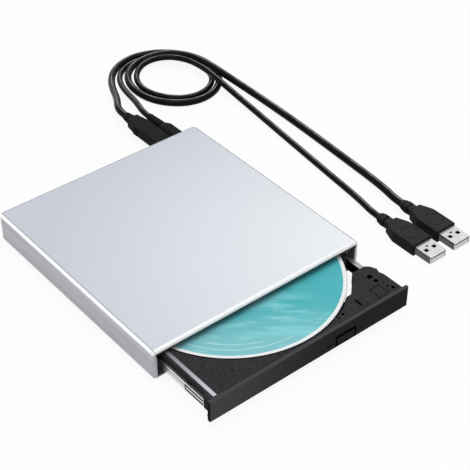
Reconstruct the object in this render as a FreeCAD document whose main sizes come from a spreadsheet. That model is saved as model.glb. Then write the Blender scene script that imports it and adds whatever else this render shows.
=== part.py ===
import FreeCAD, Part
import math
import os

import Sketcher

Vector = FreeCAD.Vector

# Driving sizes in millimetres and degrees. +Z is up, the tray opens towards -Y,
# and the origin is under the middle of the case with its tray drawn out.
SIZES = {
    # outer case
    "rear_room": 13.0,
    "side_wall": 2.5,
    "back_wall": 2.0,
    "floor_wall": 1.8,
    "roof_wall": 2.8,
    "case_rear_radius": 3.0,
    "case_front_radius": 1.5,
    "belly_radius": 2.4,
    "rim_bevel": 1.3,
    "seam": 0.3,
    "ledge_depth": 1.1,
    "panel_step": 2.2,
    "lip_radius": 1.8,
    "foot_height": 0.8,
    "foot_inset": 0.4,
    "foot_radius": 5.0,
    "foot_side": 52.0,
    "foot_end": 12.0,
    "screw_radius": 0.9,
    "screw_head_radius": 1.8,
    "screw_head_height": 0.8,
    "post_radius": 2.5,
    "post_left": 57.0,
    "post_middle": 17.0,
    "post_from_back": 6.5,
    "pan_screw_side": 44.0,
    "pan_screw_from_lip": 24.0,
    "cover_screw_inset": 4.0,
    # drive envelope
    "drive_width": 128.0,
    "drive_height": 12.7,
    "drive_depth": 127.0,
    "drive_gap": 0.35,
    "side_gap": 0.5,
    "sheet": 0.6,
    "bezel_depth": 4.5,
    "running_gap": 0.3,
    "tray_out": 40.0,
    # rails and their guides
    "rail_level": 2.25,
    "rail_height": 5.2,
    "rail_width": 2.8,
    "rail_sheet": 0.6,
    "rail_length": 105.0,
    "rail_notch": 3.0,
    "rail_notch_from_front": 11.0,
    "guide_web": 1.4,
    "guide_lip": 0.4,
    "guide_reach": 1.4,
    "guide_length": 108.0,
    "guide_setback": 3.5,
    # tray
    "tray_depth": 123.6,
    "tray_height": 11.05,
    "tray_clearance": 0.35,
    "cover_sheet": 0.4,
    "tray_plate": 1.0,
    "tray_wall": 1.6,
    "shelf_reach": 1.6,
    "wing_reach": 4.0,
    "wing_length": 25.1,
    "wing_corner": 2.5,
    "bay_back": 97.0,
    "cutaway_left": 34.5,
    "cutaway_front": 13.5,
    "cutaway_gap": 2.5,
    "recess_gap": 0.8,
    "small_recess_radius": 41.0,
    "small_recess_depth": 0.4,
    "strip_width": 2.0,
    "strip_thickness": 0.25,
    "strip_length": 40.4,
    "strip_inset": 1.0,
    # bezel, button, light
    "bezel_wall": 2.0,
    "bezel_flange": 1.05,
    "bezel_flange_depth": 2.2,
    "bezel_end": 1.4,
    "button_left": 15.3,
    "button_width": 11.6,
    "button_bottom": 4.6,
    "button_height": 4.8,
    "button_proud": 0.3,
    "button_gap": 0.3,
    "button_travel": 0.6,
    "button_flange": 0.7,
    "light_left": 8.9,
    "light_width": 4.0,
    "light_height": 1.2,
    "light_level": 6.7,
    "pinhole_x": 31.4,
    "pinhole_level": 6.9,
    "pinhole_radius": 0.8,
    # disc
    "disc_radius": 60.0,
    "disc_hole_radius": 7.5,
    "disc_thickness": 1.2,
    "disc_offset": 1.0,
    "disc_from_bezel": 5.5,
    "disc_level": 8.55,
    "disc_clearance": 0.5,
    # traverse: lengths run outwards from the spindle
    "traverse_angle": 225.0,
    "frame_level": 2.05,
    "frame_height": 4.0,
    "frame_back": 17.5,
    "frame_front": 65.0,
    "frame_left": 21.0,
    "frame_right": 28.6,
    "frame_corner": 6.0,
    "frame_wall": 1.4,
    "frame_opening_back": 5.0,
    "frame_end_wall": 3.0,
    "rod_spread": 17.0,
    "rod_radius": 1.25,
    "rod_start": 2.0,
    "rod_fit": 0.07,
    "rod_level": 4.05,
    "sled_height": 4.0,
    "sled_start": 6.0,
    "sled_end": 27.6,
    "sled_wing": 19.2,
    "sled_bevel": 7.6,
    "lens_distance": 24.0,
    "lens_radius": 2.0,
    "lens_housing": 9.0,
    "lens_housing_height": 1.4,
    "screw_spread": 23.0,
    "lead_radius": 1.25,
    "lead_start": 7.0,
    "lead_length": 60.0,
    "sled_motor_radius": 3.6,
    "sled_motor_height": 5.2,
    "sled_motor_length": 10.5,
    "sled_motor_front": 4.5,
    "damper_radius": 2.6,
    # spindle motor
    "shaft_radius": 1.0,
    "shaft_fit": 0.04,
    "bearing_radius": 3.2,
    "stator_radius": 9.3,
    "cup_radius": 11.3,
    "cup_wall": 1.3,
    "table_radius": 14.0,
    "table_thickness": 1.2,
    "hub_radius": 7.35,
    "hub_height": 3.3,
    "pad_width": 3.2,
    "pad_thickness": 0.6,
    "claw_width": 2.4,
    "claw_length": 3.4,
    "claw_height": 1.0,
    "claw_overhang": 0.25,
    # latch
    "latch_pin_x": 50.3,
    "latch_pin_radius": 1.0,
    "latch_pin_height": 4.05,
    "latch_pin_setback": 14.0,
    "latch_pivot_x": 46.0,
    "latch_pivot_back": 7.5,
    "latch_pivot_radius": 1.0,
    "latch_level": 2.65,
    "latch_thickness": 1.8,
    # boards, sockets and plugs
    "board_thickness": 1.0,
    "main_board_length": 23.8,
    "plug_level": 7.8,
    "data_x": 50.0,
    "power_x": 60.5,
    "socket_depth": 9.0,
    "socket_recess": 1.8,
    "data_tip_width": 6.8,
    "data_tip_height": 3.0,
    "power_tip_radius": 1.7,
    "tip_length": 8.4,
    "tip_fit": 0.1,
    "plug_gap": 0.4,
    "data_grip_length": 40.0,
    "data_grip_width": 11.0,
    "data_grip_height": 7.0,
    "data_body_length": 27.5,
    "data_neck_width": 8.0,
    "data_ridge_reach": 0.6,
    "power_grip_length": 22.1,
    "power_grip_radius": 4.4,
    "data_relief_length": 6.1,
    "power_relief_length": 14.5,
    # leads
    "data_cord_radius": 2.3,
    "power_cord_radius": 1.9,
    "usb_grip_length": 24.0,
    "usb_grip_width": 13.8,
    "usb_neck_width": 7.8,
    "usb_grip_height": 7.8,
    "usb_relief_length": 9.0,
    "usb_ring_radius": 3.5,
    "usb_seal_radius": 5.2,
    "usb_shell_width": 12.0,
    "usb_shell_height": 4.5,
    "usb_shell_length": 12.0,
    "usb_shell_wall": 0.35,
    "usb_tongue_height": 2.6,
    "usb_front": -74.0,
    "usb_data_x": 121.9,
    "usb_power_x": 103.5,
}

doc = FreeCAD.newDocument("DiscWriter")
sheet = doc.addObject("Spreadsheet::Sheet", "Sizes")
for row, (alias, number) in enumerate(SIZES.items(), start=1):
    sheet.set(f"A{row}", alias)
    sheet.set(f"B{row}", str(number))
    sheet.setAlias(f"B{row}", alias)
doc.recompute()


class Size:
    """A length that knows its number and the sheet expression it comes from."""

    def __init__(self, number, text):
        self.number = number
        self.text = text

    def __add__(self, other):
        return Size(self.number + number_of(other), f"({self.text} + {text_of(other)})")

    def __sub__(self, other):
        return Size(self.number - number_of(other), f"({self.text} - {text_of(other)})")

    def __mul__(self, other):
        return Size(self.number * number_of(other), f"({self.text} * {text_of(other)})")

    def __truediv__(self, other):
        return Size(self.number / number_of(other), f"({self.text} / {text_of(other)})")

    def __radd__(self, other):
        return Size(number_of(other), text_of(other)) + self

    def __rsub__(self, other):
        return Size(number_of(other), text_of(other)) - self

    def __rmul__(self, other):
        return self * other

    def __neg__(self):
        return Size(-self.number, f"(-1 * {self.text})")


def number_of(value):
    return value.number if isinstance(value, Size) else float(value)


def text_of(value):
    return value.text if isinstance(value, Size) else repr(float(value))


class Sheet:
    """Reads a size from the spreadsheet by its alias."""

    def __getattr__(self, alias):
        return Size(SIZES[alias], f"Sizes.{alias}")


s = Sheet()
nodes = {}


def bind(thing, name, value):
    if isinstance(value, Size):
        thing.setExpression(name, value.text)
    elif value:
        thing.setExpression(name, repr(float(value)))


def place(thing, x, y, z):
    bind(thing, "Placement.Base.x", x)
    bind(thing, "Placement.Base.y", y)
    bind(thing, "Placement.Base.z", z)
    return thing


def node(name, thing):
    thing.Label = name
    nodes[name] = thing
    return thing


def box(name, low, high):
    """A block between two corners."""
    solid = doc.addObject("Part::Box", name)
    for edge, near, far in zip(("Length", "Width", "Height"), low, high):
        bind(solid, edge, far - near if isinstance(far, Size) else Size(number_of(far),
                                                                        text_of(far)) - near)
    return place(solid, *low)


TURNS = {
    "x": FreeCAD.Rotation(Vector(0, 1, 0), 90),
    "y": FreeCAD.Rotation(Vector(1, 0, 0), -90),
    "z": FreeCAD.Rotation(),
}


def rod(name, start, radius, length, along="z"):
    """A round bar that starts at a point and runs along an axis."""
    solid = doc.addObject("Part::Cylinder", name)
    bind(solid, "Radius", radius)
    bind(solid, "Height", length)
    solid.Placement = FreeCAD.Placement(Vector(), TURNS[along])
    return place(solid, *start)


def taper(name, start, radius, end_radius, length, along="z"):
    solid = doc.addObject("Part::Cone", name)
    bind(solid, "Radius1", radius)
    bind(solid, "Radius2", end_radius)
    bind(solid, "Height", length)
    solid.Placement = FreeCAD.Placement(Vector(), TURNS[along])
    return place(solid, *start)


def join(name, *solids):
    whole = doc.addObject("Part::MultiFuse", name)
    whole.Shapes = list(solids)
    whole.Refine = True
    return whole


def cut(name, base, *tools):
    result = doc.addObject("Part::Cut", name)
    result.Base = base
    result.Tool = tools[0] if len(tools) == 1 else join(f"{name}_tools", *tools)
    result.Refine = True
    return result


def overlap(name, first, second):
    result = doc.addObject("Part::Common", name)
    result.Base = first
    result.Tool = second
    return result


def group(name, solids):
    """Identical loose solids that share one node."""
    whole = doc.addObject("Part::Compound", name)
    whole.Links = list(solids)
    return node(name, whole)


def blend(name, base, radius, wanted):
    """Rounds the edges of a solid that a test picks out."""
    doc.recompute()
    rounded = doc.addObject("Part::Fillet", name)
    rounded.Base = base
    size = number_of(radius)
    rounded.Edges = [(i, size, size) for i, edge in enumerate(base.Shape.Edges, 1) if wanted(edge)]
    return rounded


def runs_along(edge, axis):
    """True for a straight edge parallel to an axis given as 0, 1 or 2."""
    if edge.Curve.TypeId != "Part::GeomLine":
        return False
    step = edge.Vertexes[-1].Point - edge.Vertexes[0].Point
    return abs(abs(step[axis]) - step.Length) < 1e-6


def middle(edge):
    return edge.BoundBox.Center


def near(value, size):
    return abs(value - number_of(size)) < 0.01


class Profile:
    """A sketch on one of a body's own planes, its points bound to the sheet."""

    def __init__(self, body, plane, level=0):
        self.plane = plane
        self.sketch = body.newObject("Sketcher::SketchObject", f"{body.Name}_profile")
        origin = next(f for f in body.Origin.OriginFeatures if f.Role == plane)
        self.sketch.AttachmentSupport = [(origin, "")]
        self.sketch.MapMode = "FlatFace"
        away = -level if plane == "XZ_Plane" and isinstance(level, Size) else level
        bind(self.sketch, "AttachmentOffset.Base.z", away)

    def pin(self, geometry, point, x, y):
        """Fixes a point of the geometry at x and y from the sketch's origin."""
        for kind, value, axis in (("DistanceX", x, -2), ("DistanceY", y, -1)):
            if abs(number_of(value)) < 1e-9:
                rule = Sketcher.Constraint("PointOnObject", geometry, point, axis)
                self.sketch.addConstraint(rule)
                continue
            rule = Sketcher.Constraint(kind, -1, 1, geometry, point, number_of(value))
            index = self.sketch.addConstraint(rule)
            bind(self.sketch, f"Constraints[{index}]", value)

    def polygon(self, corners):
        first = self.sketch.GeometryCount
        count = len(corners)
        spots = [Vector(number_of(x), number_of(y), 0) for x, y in corners]
        for i in range(count):
            self.sketch.addGeometry(Part.LineSegment(spots[i], spots[(i + 1) % count]))
        for i in range(count):
            meet = Sketcher.Constraint("Coincident", first + i, 2, first + (i + 1) % count, 1)
            self.sketch.addConstraint(meet)
        for i, (x, y) in enumerate(corners):
            self.pin(first + i, 1, x, y)
        return self

    def rectangle(self, x0, y0, x1, y1):
        return self.polygon([(x0, y0), (x1, y0), (x1, y1), (x0, y1)])

    def circle(self, x, y, radius):
        spot = Vector(number_of(x), number_of(y), 0)
        ring = self.sketch.addGeometry(Part.Circle(spot, Vector(0, 0, 1), number_of(radius)))
        self.pin(ring, 3, x, y)
        rule = Sketcher.Constraint("Radius", ring, number_of(radius))
        bind(self.sketch, f"Constraints[{self.sketch.addConstraint(rule)}]", radius)
        return self


class Piece:
    """A sub-part made feature by feature, as a body."""

    def __init__(self, name):
        self.body = doc.addObject("PartDesign::Body", name)
        node(name, self.body)

    def profile(self, plane, level=0):
        return Profile(self.body, plane, level)

    def pad(self, profile, length, towards=1):
        """Adds a length towards the plus or minus end of the plane's axis."""
        return self.grow("PartDesign::Pad", profile, length, towards < 0)

    def pocket(self, profile, length, towards=-1):
        """Cuts a length towards the plus or minus end of the plane's axis."""
        return self.grow("PartDesign::Pocket", profile, length, towards > 0)

    def grow(self, kind, profile, length, backwards):
        feature = self.body.newObject(kind, f"{self.body.Name}_step")
        feature.Profile = profile.sketch
        bind(feature, "Length", length)
        feature.Reversed = backwards != (profile.plane == "XZ_Plane")
        profile.sketch.Visibility = False
        return feature

    def revolve(self, profile, axis="V_Axis"):
        feature = self.body.newObject("PartDesign::Revolution", f"{self.body.Name}_turn")
        feature.Profile = profile.sketch
        feature.ReferenceAxis = (profile.sketch, [axis])
        feature.Angle = 360
        return feature

    def dress(self, kind, size_name, size, wanted):
        """A fillet or chamfer on the edges that a test picks out."""
        doc.recompute()
        base = self.body.Tip
        names = [f"Edge{i}" for i, edge in enumerate(base.Shape.Edges, 1) if wanted(edge)]
        feature = self.body.newObject(kind, f"{self.body.Name}_edge")
        feature.Base = (base, names)
        bind(feature, size_name, size)
        return feature

    def fillet(self, radius, wanted):
        return self.dress("PartDesign::Fillet", "Radius", radius, wanted)

    def chamfer(self, size, wanted):
        return self.dress("PartDesign::Chamfer", "Size", size, wanted)


# Widths from the middle of the case.
drive_half = s.drive_width / 2
cavity_half = drive_half + s.side_gap
case_half = cavity_half + s.side_wall

# Levels above the table.
case_bottom = s.foot_height
cavity_floor = case_bottom + s.floor_wall
drive_floor = cavity_floor + s.drive_gap
drive_roof = drive_floor + s.drive_height
cavity_roof = drive_roof + s.drive_gap
case_top = cavity_roof + s.roof_wall
case_ledge = case_top - s.panel_step
pan_top = drive_floor + s.sheet
pan_rim = drive_roof - s.sheet
tray_floor = pan_top + s.tray_clearance
tray_base = tray_floor + s.cover_sheet
tray_top = drive_floor + s.tray_height
disc_bottom = drive_floor + s.disc_level
recess_floor = disc_bottom - s.disc_clearance
plate_bottom = recess_floor - s.tray_plate
rail_bottom = drive_floor + s.rail_level
rail_top = rail_bottom + s.rail_height
guide_bottom = rail_bottom - s.running_gap - s.guide_lip
guide_top = rail_top + s.running_gap + s.guide_lip
shelf_bottom = guide_top + s.running_gap
bead_bottom = rail_bottom + s.rail_sheet + s.running_gap
bead_top = rail_top - s.rail_sheet - s.running_gap
frame_bottom = drive_floor + s.frame_level
frame_top = frame_bottom + s.frame_height
rod_centre = drive_floor + s.rod_level

# Places along the case, the tray drawn out by tray_out.
case_depth = s.drive_depth + s.rear_room
lip = (s.tray_out - case_depth) / 2
case_back = lip + case_depth
drive_front = lip + s.bezel_depth
drive_back = lip + s.drive_depth
guide_front = drive_front + s.guide_setback
bezel_front = lip - s.tray_out
tray_front = bezel_front + s.bezel_wall
tray_back = tray_front + s.tray_depth
wing_back = tray_front + s.wing_length
bay_end = tray_front + s.bay_back
rail_front = guide_front - s.tray_out
rail_back = rail_front + s.rail_length
recess_radius = s.disc_radius + s.recess_gap
cutaway_radius = s.disc_radius + s.cutaway_gap
disc_y = bezel_front + s.disc_radius + s.disc_from_bezel
disc_x = s.disc_offset

# Widths from the middle of the drive outwards, the same on both sides.
pan_half = drive_half - s.sheet
guide_inner = pan_half - s.guide_web
rail_outer = guide_inner - s.running_gap
rail_web = rail_outer - s.rail_sheet
rail_edge = rail_outer - s.rail_width
tray_side = rail_edge - s.running_gap
bead_edge = rail_web - s.running_gap
bay_side = tray_side - s.tray_wall


def make_bottom_shell():
    """Tub of the case: floor, side walls with a bright bevel, and back wall."""
    shell = Piece("bottom_shell")
    outline = shell.profile("XY_Plane", case_bottom).rectangle(-case_half, lip, case_half, case_back)
    shell.pad(outline, case_top - case_bottom)
    shell.fillet(s.case_rear_radius, lambda e: runs_along(e, 2) and near(middle(e).y, case_back))
    shell.fillet(s.belly_radius, lambda e: near(e.BoundBox.ZMax, case_bottom) and not near(middle(e).y,
                                                                                           lip))
    shell.fillet(s.case_front_radius, lambda e: runs_along(e, 2) and near(middle(e).y, lip))
    shell.chamfer(s.rim_bevel, lambda e: near(e.BoundBox.ZMin, case_top) and not near(middle(e).y, lip))
    cavity_back = case_back - s.back_wall
    cavity = shell.profile("XY_Plane", cavity_floor).rectangle(-cavity_half, lip - 1, cavity_half,
                                                               cavity_back)
    shell.pocket(cavity, s.drive_height + s.roof_wall * 2, towards=1)
    rim = case_half - s.rim_bevel - 0.1
    rim_back = case_back - s.rim_bevel - 0.1
    rabbet = shell.profile("XY_Plane", case_ledge).rectangle(-rim, lip - 1, rim, rim_back)
    shell.pocket(rabbet, s.panel_step + 1, towards=1)
    # Low ribs carry the drive.
    for side in (-1, 1):
        rib = shell.profile("XY_Plane", cavity_floor)
        edges = sorted((side * 24.0, side * 27.0))
        rib.rectangle(edges[0], lip + 6, edges[1], drive_back - 6)
        shell.pad(rib, s.drive_gap)
    # Bosses under the posts of the top panel, with screw holes from below.
    seats = [(-s.post_left, case_back - s.post_from_back), (-s.post_middle, case_back - s.post_from_back)]
    for x, y in seats:
        shell.pad(shell.profile("XY_Plane", cavity_floor).circle(x, y, s.post_radius), 1.4)
    seats += [(side * s.pan_screw_side, lip + s.pan_screw_from_lip) for side in (-1, 1)]
    for x, y in seats:
        hole = shell.profile("XY_Plane", case_bottom).circle(x, y, s.screw_radius + 0.2)
        shell.pocket(hole, 4.5, towards=1)
        sink = shell.profile("XY_Plane", case_bottom).circle(x, y, s.screw_head_radius + 0.2)
        shell.pocket(sink, s.screw_head_height + 0.2, towards=1)
    for x, y in foot_places():
        seat = shell.profile("XY_Plane", case_bottom).circle(x, y, s.foot_radius)
        shell.pocket(seat, s.foot_inset, towards=1)
    # Openings in the back wall for the two sockets.
    grip = s.data_tip_width / 2 + 0.9
    window = shell.profile("XZ_Plane", case_back + 1)
    window.rectangle(s.data_x - grip, s.plug_level - 2.3, s.data_x + grip, s.plug_level + 2.3)
    shell.pocket(window, s.back_wall + 2)
    window = shell.profile("XZ_Plane", case_back + 1).circle(s.power_x, s.plug_level, 2.9)
    shell.pocket(window, s.back_wall + 2)
    return seats


def foot_places():
    rows = (lip + s.foot_end, case_back - s.foot_end)
    return [(side * s.foot_side, y) for side in (-1, 1) for y in rows]


def make_top_panel():
    """Lid with a rolled front lip, stepped to sit on the ledge of the tub."""
    panel = Piece("top_panel")
    edge = case_half - s.rim_bevel - 0.1 - s.seam
    back = case_back - s.rim_bevel - 0.1 - s.seam
    upper = panel.profile("XY_Plane", case_ledge).rectangle(-edge, lip, edge, back)
    panel.pad(upper, s.panel_step)
    inner = cavity_half - s.seam
    lower = panel.profile("XY_Plane", case_ledge).rectangle(-inner, lip, inner,
                                                            case_back - s.back_wall - s.seam)
    panel.pad(lower, s.roof_wall - s.panel_step, towards=-1)
    panel.fillet(s.lip_radius,
                 lambda e: runs_along(e, 0) and near(middle(e).y, lip) and near(middle(e).z, case_top))
    for x in (-s.post_left, -s.post_middle):
        spot = panel.profile("XY_Plane", cavity_roof).circle(x, case_back - s.post_from_back, s.post_radius)
        panel.pad(spot, cavity_roof - cavity_floor - 1.4, towards=-1)
        hole = panel.profile("XY_Plane", cavity_floor + 1.4)
        hole.circle(x, case_back - s.post_from_back, s.screw_radius)
        panel.pocket(hole, 6.0, towards=1)


def make_case_fittings(screw_places):
    feet = [rod(f"foot_{i}", (x, y, 0), s.foot_radius - 0.1, s.foot_height + s.foot_inset)
            for i, (x, y) in enumerate(foot_places())]
    doc.recompute()
    group("rubber_feet", [blend(f"foot_{i}_soft", foot, 0.4, lambda e: near(e.BoundBox.ZMax, 0))
                          for i, foot in enumerate(feet)])
    screws = []
    head_top = case_bottom + s.screw_head_height + 0.2
    for i, (x, y) in enumerate(screw_places):
        reach = cavity_floor + 5.0 if i < 2 else pan_top - 0.1
        head = rod(f"case_head_{i}", (x, y, head_top - s.screw_head_height), s.screw_head_radius,
                   s.screw_head_height)
        shank = rod(f"case_shank_{i}", (x, y, head_top), s.screw_radius - 0.05, reach - head_top)
        slot = box(f"case_slot_{i}", (x - 1.2, y - 0.2, case_bottom), (x + 1.2, y + 0.2, case_bottom + 0.5))
        screws.append(cut(f"case_screw_{i}", join(f"case_bolt_{i}", head, shank), slot))
    group("case_screws", screws)


def make_drive_chassis():
    """Folded base pan and flat top cover of the drive."""
    pan = Piece("drive_base_pan")
    outline = pan.profile("XY_Plane", drive_floor).rectangle(-drive_half, drive_front, drive_half,
                                                             drive_back)
    pan.pad(outline, pan_rim - drive_floor)
    inside = pan.profile("XY_Plane", pan_top)
    inside.rectangle(-pan_half, drive_front - 1, pan_half, drive_back - s.sheet)
    pan.pocket(inside, s.drive_height, towards=1)
    gate = pan.profile("XZ_Plane", drive_back + 1)
    gate.rectangle(-10, pan_top + s.cover_sheet + s.board_thickness - s.running_gap, 32, drive_floor + 7.5)
    pan.pocket(gate, s.sheet + 2)
    for x in (-50, -18, 18, 50):
        for y in (drive_back - 4, drive_back - s.main_board_length + 3):
            pan.pad(pan.profile("XY_Plane", pan_top).circle(x, y, 1.6), s.cover_sheet)
    for side in (-1, 1):
        hole = pan.profile("XY_Plane", drive_floor - 0.5)
        hole.circle(side * s.pan_screw_side, lip + s.pan_screw_from_lip, s.screw_radius)
        pan.pocket(hole, s.sheet + 1, towards=1)

    lid = Piece("drive_top_cover")
    lid.pad(lid.profile("XY_Plane", pan_rim).rectangle(-drive_half, drive_front, drive_half, drive_back),
            s.sheet)
    stamping = lid.profile("XY_Plane", drive_roof - 0.2)
    stamping.circle(disc_x, disc_y + s.tray_out, s.disc_radius - 12)
    stamping.circle(disc_x, disc_y + s.tray_out, s.disc_radius - 22)
    lid.pocket(stamping, 1.0, towards=1)
    inset = s.cover_screw_inset
    rows = (drive_front + s.drive_depth * 0.47, drive_back - inset)
    corners = [(side * (drive_half - inset), y) for side in (-1, 1) for y in rows]
    group("cover_screws", [rod(f"cover_screw_{i}", (x, y, drive_roof), 1.3, 0.25)
                           for i, (x, y) in enumerate(corners)])
    node("latch_pin", rod("latch_pin", (s.latch_pin_x, bezel_front + s.tray_out + s.latch_pin_setback,
                                        pan_top),
                          s.latch_pin_radius, s.latch_pin_height))


def make_guide_and_rail(name, side):
    """One fixed plastic guide and the steel channel that telescopes in it."""
    guide = Piece(f"{name}_guide")
    reach = guide_inner - s.guide_reach
    section = [
        (side * pan_half, guide_bottom), (side * reach, guide_bottom),
        (side * reach, guide_bottom + s.guide_lip), (side * guide_inner, guide_bottom + s.guide_lip),
        (side * guide_inner, guide_top - s.guide_lip), (side * reach, guide_top - s.guide_lip),
        (side * reach, guide_top), (side * pan_half, guide_top),
    ]
    guide.pad(guide.profile("XZ_Plane", guide_front).polygon(section), s.guide_length)

    rail = Piece(f"{name}_rail")
    section = [
        (side * rail_outer, rail_bottom), (side * rail_edge, rail_bottom),
        (side * rail_edge, rail_bottom + s.rail_sheet), (side * rail_web, rail_bottom + s.rail_sheet),
        (side * rail_web, rail_top - s.rail_sheet), (side * rail_edge, rail_top - s.rail_sheet),
        (side * rail_edge, rail_top), (side * rail_outer, rail_top),
    ]
    rail.pad(rail.profile("XZ_Plane", rail_front).polygon(section), s.rail_length)
    notch_front = rail_front + s.rail_notch_from_front
    edges = sorted((side * (rail_outer - 1.0), side * (rail_edge - 1.0)), key=number_of)
    notch = rail.profile("XY_Plane", rail_top + 1)
    notch.rectangle(edges[0], notch_front, edges[1], notch_front + s.rail_notch)
    rail.pocket(notch, s.rail_sheet + 1)


def make_tray():
    """Moulded tray: land, disc recess, right wing, slim right arm and rail beads."""
    wide = box("tray_front_block", (-tray_side, tray_front, tray_base), (tray_side, wing_back, tray_top))
    long = box("tray_left_block", (-tray_side, tray_front, tray_base), (s.cutaway_left, bay_end, tray_top))
    rear = box("tray_rear_block", (-tray_side, bay_end, plate_bottom), (tray_side, tray_back, tray_top))
    shelf = box("tray_shelf", (-tray_side - s.shelf_reach, tray_front, shelf_bottom),
                (-tray_side, tray_back, tray_top))
    wing_edge = tray_side + s.wing_reach
    wing = Piece("tray_wing")
    nodes.pop("tray_wing")
    outline = [
        (tray_side, tray_front), (wing_edge, tray_front), (wing_edge, wing_back - 11.0),
        (wing_edge - 0.9, wing_back - 8.1), (wing_edge, wing_back - 5.4),
        (tray_side + s.wing_corner, wing_back - s.wing_corner * 0.8),
        (tray_side + s.wing_corner * 0.1, wing_back), (tray_side, wing_back),
    ]
    wing.pad(wing.profile("XY_Plane", shelf_bottom).polygon(outline), tray_top - shelf_bottom)
    blank = join("tray_blank", wide, long, rear, shelf, wing.body)

    depth = recess_floor
    recess = rod("tray_recess", (disc_x, disc_y, depth), recess_radius, 10.0)
    small = rod("tray_small_recess", (disc_x, disc_y, depth - s.small_recess_depth), s.small_recess_radius,
                10.0)
    cut_front = tray_front + s.cutaway_front
    open_side = box("tray_open_side", (s.cutaway_left, wing_back, tray_base - 1),
                    (tray_side + 1, bay_end, tray_top + 1))
    open_front = box("tray_open_front", (s.cutaway_left, cut_front, tray_base - 1),
                     (tray_side, wing_back + 0.1, tray_top + 1))
    sweep = rod("tray_sweep", (disc_x, disc_y, tray_base - 1), cutaway_radius, s.drive_height + 2)
    open_round = overlap("tray_open_round", open_front, sweep)

    inner_front = tray_front + s.tray_wall - 0.1
    bay = box("tray_bay", (-bay_side, inner_front, tray_base - 1),
              (s.cutaway_left - s.tray_wall + 0.1, bay_end - s.tray_wall, plate_bottom))
    wing_bay = box("tray_wing_bay", (s.cutaway_left - s.tray_wall, inner_front, tray_base - 1),
                   (bay_side, wing_back - s.tray_wall + 0.1, plate_bottom))
    skirt = rod("tray_wing_skirt", (disc_x, disc_y, tray_base - 2), cutaway_radius + s.tray_wall, 20.0)
    wing_bay = cut("tray_wing_hollow", wing_bay, skirt)
    path = latch_path()
    tray = cut("tray_shell", blank, recess, small, open_side, open_round, bay, wing_bay, path)

    # The slim arm and the beads that run in the rails.
    arm = box("tray_arm", (bay_side, wing_back - s.tray_wall, bead_bottom), (tray_side, bay_end, rail_top))
    arm_rear = box("tray_arm_rear", (bay_side, bay_end, bead_bottom), (tray_side, tray_back, plate_bottom))
    left_rear = box("tray_left_rear", (-tray_side, bay_end, bead_bottom),
                    (-bay_side, tray_back, plate_bottom))
    beads = [box("tray_left_bead", (-bead_edge, tray_front, bead_bottom),
                 (-tray_side, tray_back, bead_top)),
             box("tray_right_bead", (tray_side, tray_front, bead_bottom), (bead_edge, tray_back, bead_top))]
    stop_back = rail_front - s.running_gap
    stops = [box("tray_left_stop", (-rail_outer, tray_front, rail_bottom),
                 (-tray_side, stop_back, tray_top)),
             box("tray_right_stop", (tray_side, tray_front, rail_bottom),
                 (rail_outer, stop_back, tray_top))]
    posts = [rod("tray_latch_post", (s.latch_pivot_x, bezel_front + s.latch_pivot_back, latch_bottom - 0.2),
                 s.latch_pivot_radius, plate_bottom - latch_bottom + 0.2)]
    rise = plate_bottom - frame_top
    posts += [turned(rod(f"tray_boss_{i}", (r, w, frame_top), s.damper_radius - 0.2, rise))
              for i, (r, w) in enumerate(damper_places())]
    tray = join("tray_whole", tray, arm, arm_rear, left_rear, *beads, *stops, *posts)

    # Windows for the spindle and the lens, then the small openings.
    spindle_window = rod("tray_spindle_window", (disc_x, disc_y, plate_bottom - 0.5), s.table_radius + 3.5,
                         3.0)
    slot_half = s.lens_housing / 2 + 4
    slots = [
        box("tray_lens_slot", (0, -slot_half, plate_bottom - 0.5),
            (recess_radius - 0.6, slot_half, recess_floor + 1)),
        box("tray_lens_pocket", (s.table_radius, -slot_half, plate_bottom - 0.5),
            (s.frame_front - 1, slot_half, recess_floor - 0.15)),
    ]
    slots = [turned(slot) for slot in slots]
    screws = [turned(rod(f"tray_screw_hole_{i}", (r, w, frame_top - 0.5), s.screw_radius + 0.05, 2.2))
              for i, (r, w) in enumerate(damper_places())]
    node("tray", cut("tray", tray, spindle_window, *slots, *screws, *front_wall_holes(), *wing_marks()))


def latch_path():
    """The way that the fixed latch pin takes under the wing as the tray moves."""
    y = bezel_front + s.latch_pin_setback
    gap = s.latch_pin_radius + 0.5
    return box("tray_latch_path", (s.latch_pin_x - gap, y - 2, tray_base - 1),
               (s.latch_pin_x + gap, wing_back + 1, pan_top + s.latch_pin_height + 0.3))


def front_wall_holes():
    """Openings behind the bezel for the button, the light and the emergency pin."""
    back = tray_front + s.tray_wall
    flange = s.button_flange + 0.4
    button = box("tray_button_hole", (s.button_left - flange, tray_front - 1, s.button_bottom - flange),
                 (s.button_left + s.button_width + flange, back,
                  s.button_bottom + s.button_height + flange))
    light = box("tray_light_hole", (s.light_left, tray_front - 1, s.light_level - s.light_height / 2),
                (s.light_left + s.light_width, back, s.light_level + s.light_height / 2))
    pin = rod("tray_pin_hole", (s.pinhole_x, tray_front - 1, s.pinhole_level), s.pinhole_radius,
              s.tray_wall + 1, "y")
    return [button, light, pin]


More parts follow.
